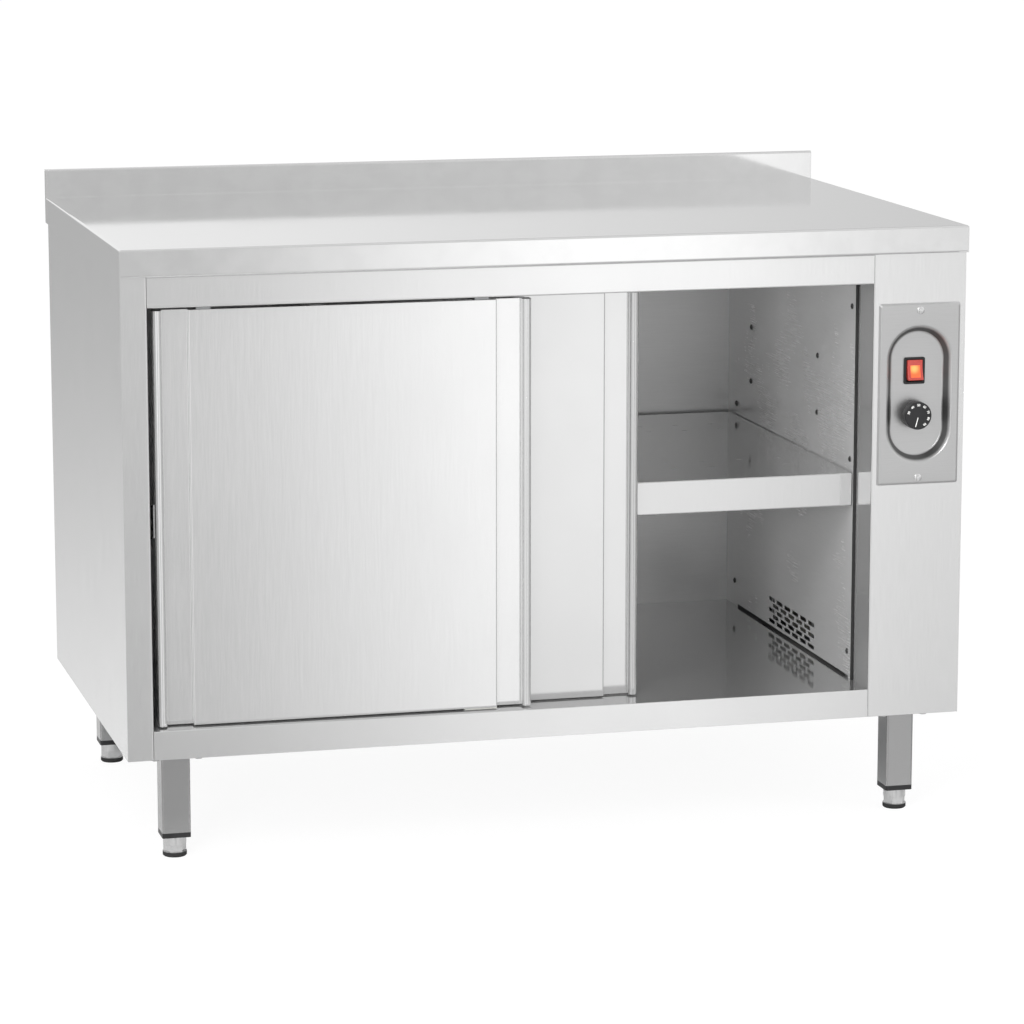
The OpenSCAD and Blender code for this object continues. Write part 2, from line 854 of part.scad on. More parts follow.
// Rubber buffers in the track, where the rollers stop at the ends of each door's travel
module door_buffers() {
    len = 12;
    h = 14;
    reach = roller_r + 1;
    first = hanger_inset;
    last = door_w - hanger_inset;
    shut_rear_x = rear_door_x + rear_open;
    color(black)
        for (stop = [[front_door_x + first - reach - len, door_y],
                     [front_door_x + last + front_travel + reach, door_y],
                     [front_door_x + first - reach - len, rear_y],
                     [shut_rear_x + last + reach, rear_y]])
            translate([stop.x, stop.y + hang_y - track_half, track_low + track_t])
                cube([len, 2 * track_half, h]);
}

// ---- Doors ----

// Left half of a door's section, with the front at v = 0 and the back sheet at
// v = door_t
module half_section() {
    t = door_sheet;
    r = bar_w / 2;
    channel_end = bar_w + channel_w;
    // rolled bar: a half ring, and its left side down to the back sheet
    translate([r, r]) intersection() {
        difference() {
            circle(r);
            circle(r - t);
        }
        translate([-r, -r]) square([bar_w, r]);
    }
    translate([0, r]) square([t, door_t - t - r]);
    // the bar's right side, the finger channel's floor, and the raised panel
    folded([[bar_w - t / 2, r], [bar_w - t / 2, strip_v + t / 2],
            [channel_end + t / 2, strip_v + t / 2], [channel_end + t / 2, panel_v + t / 2],
            [door_w / 2, panel_v + t / 2]], t, door_bend_r);
}

module door_section() {
    half_section();
    translate([door_w, 0]) mirror([1, 0]) half_section();
}

// The whole space inside the skin, which the end caps close
module door_fill() {
    t = door_sheet;
    r = bar_w / 2;
    x0 = bar_w + channel_w + t / 2;
    for (x = [r, door_w - r]) {
        translate([x, r]) circle(r - t / 2);
        translate([x - r + t / 2, r]) square([bar_w - t, strip_v + t - r]);
    }
    translate([t / 2, strip_v + t / 2]) square([door_w - t, door_t - strip_v - 1.5 * t]);
    translate([0, door_t - t]) mirror([0, 1])
        arch(x0, door_w - x0, 0, door_t - panel_v - 1.5 * t, door_bend_r - t / 2);
}

module door_skin(x, y) {
    groove_y = [groove_v, groove_v + groove_w];
    color(steel) translate([x, y, 0]) difference() {
        union() {
            translate([0, 0, door_low]) linear_extrude(door_high - door_low) door_section();
            for (z = [door_low, door_high - door_sheet])
                translate([0, 0, z]) linear_extrude(door_sheet) door_fill();
        }
        block([-1, groove_y[0], door_low - 1], [door_w + 1, groove_y[1], door_low + groove_h]);
    }
}

// The back sheet, folded forward at its lower edge into the guide groove's wall
module door_back(x, y) {
    color(steel) translate([x, y, 0])
        block([0, door_t - door_sheet, door_low], [door_w, door_t, door_high]);
}

// One hanger: foot on the door's top edge, stem through the track's slot, axle
module hanger(x, y) {
    foot_t = 3;
    foot_d = 10;
    head_r = 4;
    reach = hanger_t / 2 + wheel_gap + wheel_w + 0.3;
    color(dark_steel) translate([x, y + hang_y, 0]) {
        block([-hanger_w / 2, -foot_d / 2, door_high],
              [hanger_w / 2, foot_d / 2, door_high + foot_t]);
        block([-hanger_w / 2, -hanger_t / 2, door_high],
              [hanger_w / 2, hanger_t / 2, roller_z + 6]);
        translate([0, 0, roller_z]) rotate([90, 0, 0]) {
            cylinder(h = 2 * reach, r = axle_r, center = true);
            for (s = [-1, 1]) translate([0, 0, s * (reach + 0.4)])
                cylinder(h = 0.8, r = head_r, center = true);
        }
    }
}

module door_hangers(x, y) {
    hanger(x + hanger_inset, y);
    hanger(x + door_w - hanger_inset, y);
}

// A pair of grooveless wheels on one axle, one on each side of the hanger
module roller(x, y) {
    hub_r = 4.2;
    color("#e9e9e6") translate([x, y + hang_y, roller_z]) rotate([90, 0, 0])
        for (s = [-1, 1])
            translate([0, 0, s * (hanger_t / 2 + wheel_gap + wheel_w / 2)])
                difference() {
                    cylinder(h = wheel_w, r = roller_r, center = true);
                    cylinder(h = wheel_w + 1, r = axle_r + run_clear, center = true);
                    // dished faces between hub and tread
                    for (f = [-1, 1]) translate([0, 0, f * wheel_w / 2])
                        difference() {
                            cylinder(h = 1.6, r = roller_r - 1.8, center = true);
                            cylinder(h = 2, r = hub_r, center = true);
                        }
                }
}

module front_door_skin() { door_skin(front_door_x, door_y); }
module front_door_back() { door_back(front_door_x, door_y); }
module front_door_hangers() { door_hangers(front_door_x, door_y); }
module front_door_roller_left() { roller(front_door_x + hanger_inset, door_y); }
module front_door_roller_right() { roller(front_door_x + door_w - hanger_inset, door_y); }
module rear_door_skin() { door_skin(rear_door_x, rear_y); }
module rear_door_back() { door_back(rear_door_x, rear_y); }
module rear_door_hangers() { door_hangers(rear_door_x, rear_y); }
module rear_door_roller_left() { roller(rear_door_x + hanger_inset, rear_y); }
module rear_door_roller_right() { roller(rear_door_x + door_w - hanger_inset, rear_y); }

// ---- Controls ----

// Local frame of the control plate: front towards +Z, height along +Y
module on_plate(dx, dz, y) {
    translate([plate_x + dx, y, plate_cz + dz]) rotate([90, 0, 0]) children();
}

// A pressed plate with bevelled edges and a stadium-shaped recess
module control_plate() {
    t = plate_sheet;
    r0 = recess_floor_r;
    r1 = recess_rim_r;
    cut = 1;
    slope = (r1 - r0) / recess_depth;
    color(steel) on_plate(0, 0, body_front) difference() {
        union() {
            difference() {
                leaning_block(plate_w, plate_h, plate_rise, plate_bevel);
                translate([0, 0, -t])
                    leaning_block(plate_w - t, plate_h - t, plate_rise, plate_bevel);
            }
            translate([0, 0, plate_rise - recess_depth - t])
                stadium_taper(recess_straight, r0 + t, r1 + t, recess_depth + t);
        }
        translate([0, 0, plate_rise - recess_depth])
            stadium_taper(recess_straight, r0, r1 + slope * cut, recess_depth + cut);
        translate([-control_offset, -knob_down, -recess_depth])
            cylinder(h = 2 * recess_depth, r = shaft_r + 1);
        translate([-control_offset, switch_up, 0])
            cube([rocker_w + 4.4, switch_h - 5.6, 3 * recess_depth], center = true);
        for (s = [-1, 1])
            translate([0, s * plate_screw_dz, -5]) cylinder(h = 20, r = 2);
    }
}

module plate_screws() {
    color(dark_steel)
        for (s = [-1, 1]) on_plate(0, s * plate_screw_dz, plate_front) {
            pan_head(5.6, 2.6);
            translate([0, 0, -plate_rise - sheet - 2])
                cylinder(h = plate_rise + sheet + 2.5, r = 1.6);
        }
}

// The switch's frame on the recess floor, and its body behind it
module switch_housing() {
    body_w = rocker_w + 4;
    body_h = switch_h - 6;
    body_d = 24;
    inner_h = switch_h - 4.6;
    color(black) translate([control_x, recess_y, switch_z]) rotate([90, 0, 0]) difference() {
        union() {
            translate([0, 0, flange_t / 2]) cube([switch_w, switch_h, flange_t], center = true);
            translate([0, 0, -body_d / 2]) cube([body_w, body_h, body_d], center = true);
        }
        translate([0, 0, flange_t - 5])
            cube([rocker_w + 2 * rocker_gap, body_h - 1.6, 10], center = true);
        translate([0, 0, flange_t])
            cube([rocker_w + 2 * rocker_gap, inner_h, 2 * flange_t - 1], center = true);
        // bearings of the rocker's pin
        translate([0, 0, flange_t - pivot_v]) rotate([0, 90, 0])
            cylinder(h = rocker_pin_len + 0.4, r = rocker_pin_r + run_clear, center = true);
    }
}

// The rocker's side view about its pivot: x runs forward, y runs up
module rocker_outline() {
    polygon([[8, -14.2], [5.6, 0], [8, 14.2], [5, 14.5], [0, 13.2], [-5, 3],
             [-5, -3], [0, -13.2], [5, -14.5]]);
}

module switch_rocker() {
    color("#e2401f") translate([control_x, recess_y - flange_t + pivot_v, switch_z])
        rotate([-rocker_tilt, 0, 0]) {
            rotate([0, 0, -90]) rotate([90, 0, 0])
                linear_extrude(rocker_w, center = true) rocker_outline();
            rotate([0, 90, 0]) cylinder(h = rocker_pin_len, r = rocker_pin_r, center = true);
        }
}

// Square case on a threaded bush behind the recess floor
case_w = 44;
case_len = 46;
bush_len = 4;

module thermostat_body() {
    bush_r = 5.5;
    color("#c4b79a") translate([control_x, recess_y + plate_sheet, knob_z]) rotate([-90, 0, 0])
        difference() {
            union() {
                translate([0, 0, case_len / 2 + bush_len])
                    cube([case_w, case_w, case_len], center = true);
                cylinder(h = bush_len + 0.5, r = bush_r);
            }
            translate([0, 0, -1]) cylinder(h = 31, r = shaft_r + run_clear);
        }
}

module thermostat_shaft() {
    color(steel) translate([control_x, recess_y + plate_sheet + 28, knob_z])
        rotate([90, 0, 0]) cylinder(h = 28 + plate_sheet + knob_h - 6, r = shaft_r);
}

// The knob: a round cap with a bevelled front edge, hollow behind, on a hub
module knob() {
    bevel = 1.4;
    wall = 2.4;
    color(black) translate([control_x, recess_y - knob_gap, knob_z]) rotate([90, 0, 0])
        difference() {
            union() {
                cylinder(h = knob_h - bevel - knob_gap, r = knob_r);
                translate([0, 0, knob_h - bevel - knob_gap])
                    cylinder(h = bevel, r1 = knob_r, r2 = knob_r - bevel);
            }
            // space between the rim and the hub
            translate([0, 0, -1]) difference() {
                cylinder(h = knob_h - 4, r = knob_r - wall);
                cylinder(h = knob_h, r = 7);
            }
            translate([0, 0, -1]) cylinder(h = knob_h - 5, r = shaft_r + run_clear);
        }
}

// Sensor bulb in the duct, with its capillary through the partition
bulb_y = grille_mid_y - 60;
bulb_z = floor_z + 190;
bulb_r = 3.2;
bulb_len = 90;

module thermostat_bulb() {
    line_r = 0.9;
    x = partition_x - bulb_r - 2.4;
    turn = 8;
    start = recess_y + plate_sheet + bush_len + case_len;
    color("#b87b4b") {
        translate([x, bulb_y, bulb_z + turn]) cylinder(h = bulb_len, r = bulb_r);
        // bend from the bulb's lower end into the grommet
        translate([x + turn, bulb_y, bulb_z + turn]) rotate([90, 0, 0])
            rotate_extrude(angle = 90, start = 180) translate([turn, 0]) circle(line_r);
        translate([x + turn, bulb_y, bulb_z]) rotate([0, 90, 0])
            cylinder(h = control_x - x - 2 * turn, r = line_r);
        translate([control_x - turn, bulb_y, bulb_z + turn]) rotate([90, 0, 0])
            rotate_extrude(angle = 90, start = 270) translate([turn, 0]) circle(line_r);
        translate([control_x, bulb_y, bulb_z + turn])
            cylinder(h = knob_z - bulb_z - 2 * turn, r = line_r);
        translate([control_x, bulb_y - turn, knob_z - turn]) rotate([90, 0, 90])
            rotate_extrude(angle = 90) translate([turn, 0]) circle(line_r);
        translate([control_x, start, knob_z]) rotate([-90, 0, 0])
            cylinder(h = bulb_y - turn - start, r = line_r);
    }
}

// ---- Blower, heater and wiring ----

// End plates with bearings, a curved guide sheet, and the heater's two brackets
plate_foot = 20; // how far the end plates reach below the heater

module blower_housing() {
    half = rotor_len / 2 + 4;
    plate_w = duct_w - 1;
    color(dark_steel) {
        for (s = [-1, 1])
            translate([0, grille_mid_y + s * half, 0]) difference() {
                block([duct_x, -end_plate_t / 2, heater_z - plate_foot],
                      [duct_x + plate_w + 1, end_plate_t / 2, rotor_z + rotor_r + 8]);
                translate([duct_mid_x, 0, rotor_z]) rotate([90, 0, 0])
                    cylinder(h = 10, r = 3 + run_clear, center = true);
                for (dz = [-1, 1]) translate([duct_mid_x, 0, heater_z + dz * heater_gap / 2])
                    rotate([90, 0, 0]) cylinder(h = 10, r = tube_r + 0.1, center = true);
            }
        // guide sheet beside the rotor
        block([partition_x - 2.2, grille_mid_y - half + 1, heater_z - 16],
              [partition_x - 1.2, grille_mid_y + half - 1, rotor_z + rotor_r]);
    }
}

module blower_motor() {
    y = grille_mid_y + rotor_len / 2 + 4 + end_plate_t / 2;
    w = 36;
    color("#6d7072") difference() {
        union() {
            block([duct_mid_x - w / 2, y, rotor_z - w / 2],
                  [duct_mid_x + w / 2, y + 30, rotor_z + w / 2]);
            translate([duct_mid_x, y + 42, rotor_z]) rotate([90, 0, 0]) cylinder(h = 12, r = 13);
        }
        translate([duct_mid_x, y + 26, rotor_z]) rotate([90, 0, 0])
            cylinder(h = 60, r = 3 + run_clear);
    }
}

// Cross-flow rotor: a ring of blades between discs, on a shaft
module blower_rotor() {
    blades = 20;
    blade_t = 0.8;
    disc_t = 1.2;
    y = grille_mid_y;
    rear = rotor_len / 2 + 4 + end_plate_t / 2 + 22;
    front = rotor_len / 2 + 4 + end_plate_t / 2 + 1;
    color("#aeb3b5") translate([duct_mid_x, y, rotor_z]) rotate([90, 0, 0]) {
        for (i = [0 : blades - 1]) rotate(i * 360 / blades)
            translate([rotor_r - 4.2, 0, 0]) rotate(28)
                cube([7, blade_t, rotor_len], center = true);
        for (z = [-rotor_len / 2, -disc_t / 2, rotor_len / 2 - disc_t])
            translate([0, 0, z]) cylinder(h = disc_t, r = rotor_r);
        translate([0, 0, -rear]) cylinder(h = rear + front, r = 3);
    }
}

// Finned tubular element, bent into a hairpin behind the grille
tube_r = 4.2;
heater_gap = 25;

module heating_element() {
    half = heater_len / 2 + 8;
    fins = floor((heater_len - 20) / fin_pitch);
    color("#9a9c99") translate([duct_mid_x, grille_mid_y, heater_z]) {
        for (s = [-1, 1]) translate([0, 0, s * heater_gap / 2]) rotate([90, 0, 0]) {
            cylinder(h = 2 * half, r = tube_r, center = true);
            for (i = [0 : fins - 1])
                translate([0, 0, (i - (fins - 1) / 2) * fin_pitch])
                    cylinder(h = 0.8, r = fin_r, center = true);
        }
        translate([0, -half, 0]) rotate([0, 90, 0])
            rotate_extrude(angle = 180, start = 180) translate([heater_gap / 2, 0]) circle(tube_r);
        // terminals at the open end
        for (s = [-1, 1]) translate([0, half + 8, s * heater_gap / 2]) rotate([90, 0, 0])
            cylinder(h = 9, r = 1.6);
    }
}

// Ceramic terminal block on the partition, with a clamp screw over each wire
module terminal_block() {
    poles = 5;
    pitch = 12;
    depth = 20;
    h = 22;
    y0 = chamber_back - 110;
    z0 = gland_z + 40;
    x0 = partition_x + sheet;
    color("#ece8dc") difference() {
        block([x0, y0, z0], [x0 + depth, y0 + poles * pitch, z0 + h]);
        for (i = [0 : poles - 1]) {
            translate([x0 + depth - 6, y0 + (i + 0.5) * pitch, z0 + h / 2]) rotate([0, 90, 0])
                cylinder(h = 10, r = 3);
            translate([x0 + depth / 2, y0 + (i + 0.5) * pitch, z0 - 1]) cylinder(h = h + 2, r = 2.2);
        }
        // grooves between the poles
        for (i = [1 : poles - 1])
            block([x0 + depth - 3, y0 + i * pitch - 0.6, z0 - 1],
                  [x0 + depth + 1, y0 + i * pitch + 0.6, z0 + h + 1]);
    }
}

// Cable gland: hexagon and dome outside the back panel, lock nut inside
gland_bore_r = 4.5;

module cable_gland() {
    outer = 25.6;
    color(black) translate([gland_x, body_back, gland_z]) rotate([-90, 0, 0]) difference() {
        union() {
            cylinder(h = 7, r = 14, $fn = 6);
            translate([0, 0, 7]) cylinder(h = outer - 12, r = 11);
            translate([0, 0, outer - 5]) cylinder(h = 5, r1 = 11, r2 = 7.5);
            translate([0, 0, -sheet - 10]) cylinder(h = 12, r = gland_hole_r);
            translate([0, 0, -sheet - 6]) cylinder(h = 6, r = 14, $fn = 6);
        }
        translate([0, 0, -30]) cylinder(h = 60, r = gland_bore_r);
    }
}

// ---- Legs and feet ----

function leg_places() = [
    [-leg_x, leg_front_y], [leg_x, leg_front_y], [-leg_x, leg_back_y], [leg_x, leg_back_y]];

function bolt_places() = [
    for (p = leg_places(), sx = [-1, 1], sy = [-1, 1])
        [p.x + sx * bolt_off, p.y + sy * bolt_off]];

// Square tube welded under a plate
module leg(p) {
    corner = 3;
    color(steel) translate([p.x, p.y, 0]) {
        translate([0, 0, leg_bottom]) linear_extrude(under_h - leg_plate_t - leg_bottom)
            difference() {
                rounded_square(leg_w, corner);
                rounded_square(leg_w - 2 * leg_wall, corner - leg_wall);
            }
        difference() {
            translate([-leg_plate / 2, -leg_plate / 2, under_h - leg_plate_t])
                cube([leg_plate, leg_plate, leg_plate_t]);
            for (sx = [-1, 1], sy = [-1, 1])
                translate([sx * bolt_off, sy * bolt_off, under_h - leg_plate_t - 1])
                    cylinder(h = leg_plate_t + 2, r = bolt_r + 0.5);
        }
    }
}

module leg_front_left() { leg(leg_places()[0]); }
module leg_front_right() { leg(leg_places()[1]); }
module leg_back_left() { leg(leg_places()[2]); }
module leg_back_right() { leg(leg_places()[3]); }

// Hexagon bolts from below, each with its nut above the base panel
module leg_bolts() {
    head_h = 4;
    nut_h = 5;
    hex_r = 5.7;
    color(dark_steel)
        for (p = bolt_places()) translate([p.x, p.y, under_h]) {
            translate([0, 0, -leg_plate_t - head_h]) cylinder(h = head_h, r = hex_r, $fn = 6);
            translate([0, 0, -leg_plate_t - 1]) cylinder(h = leg_plate_t + sheet + 8, r = bolt_r);
            translate([0, 0, sheet]) cylinder(h = nut_h, r = hex_r, $fn = 6);
        }
}

// Plastic plugs in the tubes' lower ends, each with a threaded bore for the foot
module leg_end_caps() {
    plug_h = 20;
    plug_w = leg_w - 2 * leg_wall - 0.2;
    color(black)
        for (p = leg_places()) translate([p.x, p.y, leg_bottom]) difference() {
            union() {
                translate([0, 0, -cap_t]) linear_extrude(cap_t) rounded_square(leg_w, 3);
                linear_extrude(plug_h) rounded_square(plug_w, 2);
            }
            translate([0, 0, -cap_t - 1])
                cylinder(h = plug_h + cap_t + 2, r = stud_r + run_clear);
        }
}

// Levelling foot: stud, round collar, hexagon for the spanner, plastic base
module foot(p) {
    collar_top = leg_bottom - cap_t - move_clear;
    hex_top = pad_h + (collar_top - pad_h) * 0.45;
    stud_top = leg_bottom + 34;
    chamfer = 1.5;
    translate([p.x, p.y, 0]) {
        color(steel) {
            translate([0, 0, pad_h]) cylinder(h = stud_top - pad_h, r = stud_r);
            translate([0, 0, hex_top]) cylinder(h = collar_top - hex_top, r = collar_r);
            translate([0, 0, pad_h]) cylinder(h = hex_top - pad_h, r = collar_r, $fn = 6);
        }
        color(black) {
            cylinder(h = chamfer, r1 = pad_r - chamfer, r2 = pad_r);
            translate([0, 0, chamfer]) cylinder(h = pad_h - chamfer, r = pad_r);
        }
    }
}

module foot_front_left() { foot(leg_places()[0]); }
module foot_front_right() { foot(leg_places()[1]); }
module foot_back_left() { foot(leg_places()[2]); }
module foot_back_right() { foot(leg_places()[3]); }

// ---- Output ----

worktop();
worktop_core();
worktop_stiffeners();
left_side_panel();
right_side_panel();
left_jamb();
control_column();
back_panel();
base_panel();
base_stiffeners();
top_rail();
bottom_rail();
floor_liner();
left_liner();
back_liner();
ceiling_liner();
insulation();
duct_partition();
duct_cover();
duct_posts();
chamber_screws();
shelf();
shelf_brackets();
top_track();
door_guide();
door_buffers();
control_plate();
plate_screws();
switch_housing();
switch_rocker();
thermostat_body();
thermostat_shaft();
thermostat_bulb();
knob();
blower_housing();
blower_motor();
blower_rotor();
heating_element();
terminal_block();
cable_gland();
front_door_skin();
front_door_back();
front_door_hangers();
front_door_roller_left();
front_door_roller_right();
rear_door_skin();
rear_door_back();
rear_door_hangers();
rear_door_roller_left();
rear_door_roller_right();
leg_front_left();
leg_front_right();
leg_back_left();
leg_back_right();
leg_bolts();
leg_end_caps();
foot_front_left();
foot_front_right();
foot_back_left();
foot_back_right();
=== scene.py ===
# %% [markdown]
# # A plate warmer cabinet in stainless steel
# This lesson dresses a heated cupboard from a catering kitchen: folded stainless sheet,
# two sliding doors, a shelf, and a small control plate with a lit rocker and a knob.
# The construction comes in as a fixed frame, so every cell here works on finishes and on
# the few pieces whose real shape is softer than a plain construction can hold.

# %% Load the frame
import json
import math

import bmesh
import bpy
from mathutils import Matrix, Vector


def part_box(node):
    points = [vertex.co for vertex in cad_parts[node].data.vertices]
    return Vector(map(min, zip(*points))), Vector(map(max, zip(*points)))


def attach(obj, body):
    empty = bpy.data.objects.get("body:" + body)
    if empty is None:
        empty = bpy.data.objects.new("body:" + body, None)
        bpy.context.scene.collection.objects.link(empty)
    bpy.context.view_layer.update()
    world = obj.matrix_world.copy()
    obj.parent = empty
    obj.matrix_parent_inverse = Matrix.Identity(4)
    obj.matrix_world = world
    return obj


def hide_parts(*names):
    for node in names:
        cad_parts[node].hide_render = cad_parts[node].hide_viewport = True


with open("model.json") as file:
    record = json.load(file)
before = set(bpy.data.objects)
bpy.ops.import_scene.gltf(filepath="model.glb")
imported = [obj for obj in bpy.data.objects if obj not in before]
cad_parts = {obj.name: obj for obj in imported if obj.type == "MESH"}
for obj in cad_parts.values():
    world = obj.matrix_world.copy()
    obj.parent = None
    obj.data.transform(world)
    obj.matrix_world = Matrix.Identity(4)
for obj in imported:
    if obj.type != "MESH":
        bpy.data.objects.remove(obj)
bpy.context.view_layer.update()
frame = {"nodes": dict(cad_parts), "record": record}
MM = 0.001
slot_of = {part["node"]: part["material_slot"] for part in frame["record"]["subparts"]}

# %% [markdown]
# ## The camera
# The picture to match was taken from the front left and a little above, with a long lens,
# so upright edges stay nearly parallel. A lens of 141 mm on a 36 mm sensor gives that
# narrow angle. The camera stands where the corners of the worktop, the body and the door
# opening land on the same places as in the picture.

# %% Camera
CAMERA_PLACE = Vector((-1.4244, -5.6042, 1.4741))
CAMERA_TURN = 14.54       # degrees to the right of straight ahead
CAMERA_DIP = 10.456       # degrees below level
CAMERA_LENS, CAMERA_SENSOR = 141.0, 36.0

camera_data = bpy.data.cameras.new("camera")
camera_data.lens = CAMERA_LENS
camera_data.sensor_width = CAMERA_SENSOR
camera_data.clip_end = 100
camera = bpy.data.objects.new("camera", camera_data)
camera.location = CAMERA_PLACE
camera.rotation_euler = (math.radians(90 - CAMERA_DIP), 0, math.radians(-CAMERA_TURN))
bpy.context.scene.collection.objects.link(camera)
bpy.context.scene.camera = camera

# %% [markdown]
# ## Node helpers
# Materials are built from nodes in code. A few small helpers keep that readable. The first
# adds a node and sets its inputs: a value that is a socket is linked, and any other value is
# written into the input. The others each stand for a node that is needed again and again.

# %% Node helpers
def put(tree, kind, inputs=None, **settings):
    """A node of a kind, with its settings, and its inputs linked or set."""
    node = tree.nodes.new(kind)
    for name, value in settings.items():
        setattr(node, name, value)
    for key, value in (inputs or {}).items():
        socket = node.inputs[key]
        if isinstance(value, bpy.types.NodeSocket):
            tree.links.new(value, socket)
        else:
            socket.default_value = value
    return node


def maths(tree, operation, a, b=0.0, c=0.0):
    """The result of a Math node."""
    return put(tree, "ShaderNodeMath", {0: a, 1: b, 2: c}, operation=operation).outputs[0]


def remap(tree, value, low, high, to_low=0.0, to_high=1.0):
    """A value carried from one span to another, smoothly and clamped."""
    return put(tree, "ShaderNodeMapRange", {
        "Value": value, "From Min": low, "From Max": high, "To Min": to_low,
        "To Max": to_high}, interpolation_type="SMOOTHSTEP").outputs["Result"]


def blend(tree, share, low, high):
    """One level turning into another as the share goes from 0 to 1."""
    return put(tree, "ShaderNodeMix", {0: share, 2: low, 3: high}, data_type="FLOAT").outputs[0]


def mixed_colour(tree, share, low, high):
    """One colour turning into another as the share goes from 0 to 1."""
    return put(tree, "ShaderNodeMix", {0: share, 6: low, 7: high}, data_type="RGBA").outputs[2]


def object_place(tree):
    """Where a point lies in the piece's own coordinates."""
    return put(tree, "ShaderNodeTexCoord").outputs["Object"]


def axes_of(tree, place):
    """The X, Y and Z of a place."""
    return put(tree, "ShaderNodeSeparateXYZ", {0: place}).outputs


def ray_masks(tree):
    """1 for a ray from the camera, and 1 for a ray that a mirror or a glass sends on."""
    path = put(tree, "ShaderNodeLightPath")
    mirrored = maths(tree, "MAXIMUM", path.outputs["Is Glossy Ray"], path.outputs["Is Transmission Ray"])
    return path.outputs["Is Camera Ray"], mirrored


def fed_by(shader, name):
    """The socket that feeds one of a shader's inputs."""
    return shader.inputs[name].links[0].from_socket


def group_in(name, inputs, outputs):
    """An empty shader group with named sockets: its tree, input node and output node."""
    tree = bpy.data.node_groups.new(name, "ShaderNodeTree")
    for socket, kind, value in inputs:
        made = tree.interface.new_socket(socket, in_out="INPUT", socket_type=kind)
        if value is not None:
            made.default_value = value
    for socket, kind in outputs:
        tree.interface.new_socket(socket, in_out="OUTPUT", socket_type=kind)
    return tree, tree.nodes.new("NodeGroupInput"), tree.nodes.new("NodeGroupOutput")


FLOAT, VECTOR = "NodeSocketFloat", "NodeSocketVector"

# %% [markdown]
# ## The floor
# In the picture the floor is as white as the air, and only a trace of shadow lies on it.
# So the camera sees mostly plain white there, with a small share of the floor's own
# shading for the shadow. Polished steel needs more care: a leg that looked into plain
# white would lose its shape, while a real one shows the dim floor under the cabinet. So
# near the cabinet reflections see the shaded floor, and further out they pass through to
# the studio's own brightness.

# %% Floor
FLOOR_SIZE = 60.0
FLOOR_GREY = (0.92, 0.92, 0.92, 1)
SEEN_WHITE = 1.06         # how bright the plain white share of the floor is
SHADOW_SHARE = 0.14       # how much of the floor's own shading the camera sees
UNDER = (0.62, 0.37)      # half the width and depth of the floor that the cabinet shades
NEAR, FAR = 0.9, 1.7      # shaded floor inside, studio outside, as shares of that

scene = bpy.context.scene
scene.view_settings.view_transform = "Standard"

bm = bmesh.new()
bmesh.ops.create_grid(bm, x_segments=1, y_segments=1, size=FLOOR_SIZE / 2)
floor_mesh = bpy.data.meshes.new("floor")
bm.to_mesh(floor_mesh)
bm.free()
floor = bpy.data.objects.new("floor", floor_mesh)
scene.collection.objects.link(floor)

floor_material = bpy.data.materials.new("studio floor")
floor_material.use_nodes = True
tree = floor_material.node_tree
tree.nodes.clear()
matt = put(tree, "ShaderNodeBsdfDiffuse", {"Color": FLOOR_GREY})
white = put(tree, "ShaderNodeEmission", {"Color": (1, 1, 1, 1), "Strength": SEEN_WHITE})
clear = put(tree, "ShaderNodeBsdfTransparent")
seen, mirrored = ray_masks(tree)
seen = maths(tree, "MULTIPLY", seen, 1 - SHADOW_SHARE)
mixed = put(tree, "ShaderNodeMixShader", {0: seen, 1: matt.outputs[0], 2: white.outputs[0]})
place = put(tree, "ShaderNodeVectorMath", {0: object_place(tree), 1: (1 / UNDER[0], 1 / UNDER[1], 0)},
            operation="MULTIPLY")
away = put(tree, "ShaderNodeVectorMath", {0: place.outputs[0]}, operation="LENGTH").outputs["Value"]
open_air = maths(tree, "MULTIPLY", remap(tree, away, NEAR, FAR), mirrored)
floor_shader = put(tree, "ShaderNodeMixShader", {0: open_air, 1: mixed.outputs[0], 2: clear.outputs[0]})
put(tree, "ShaderNodeOutputMaterial", {"Surface": floor_shader.outputs[0]})
floor_mesh.materials.append(floor_material)

# %% [markdown]
# ## The studio that the steel mirrors
# Polished steel has hardly any colour of its own: it shows what stands round it. In a
# studio that is a white floor, white cards and a few tall soft boxes, and their blurred
# edges make the slow changes from grey to white that run across the doors. Here the air
# does that: its brightness depends on the direction that a reflection looks in, by its
# turn round the cabinet and its lift above the floor. Each part of the air is written as
# the level that it starts from and its soft edges, and each soft edge as two angles in
# degrees and the change of brightness between them. The camera itself sees plain white.

# %% Studio air
# by the angle to the right of straight ahead
FLOOR_AHEAD = (0.66, (-75, -45, 0.14), (-34, -22, 0.12), (-12, -3, -0.36), (8.2, 10.2, -0.12),
               (7.8, 16.2, 0.76), (16.6, 20.6, -0.38), (34, 58, -0.36))
SKY_AHEAD = (0.70, (-60, -35, 0.2), (-20, -5, -0.34), (6, 22, 0.16), (35, 60, 0.15))
# by the angle below level, as a share ahead and a level behind
FLOOR_NEAR_AHEAD = (1.0, (5.5, 20, -0.3))
FLOOR_NEAR_BEHIND = (0.46, (6, 16, 0.42))
# by the angle to either side
FLOOR_BEHIND = (-0.27, (146, 170, 0.27))
SKY_BEHIND = (0.57, (153, 177, 0.38))
SIDEWAYS = (78, 112)                  # where ahead turns into behind
HORIZON = (-1.0, 3.0)
ROOM_LIGHT = 0.75                     # what plain surfaces get from all round

world = bpy.data.worlds.new("studio")
scene.world = world
world.use_nodes = True
tree = world.node_tree
tree.nodes.clear()
direction = put(tree, "ShaderNodeTexCoord").outputs["Generated"]
axes = axes_of(tree, direction)
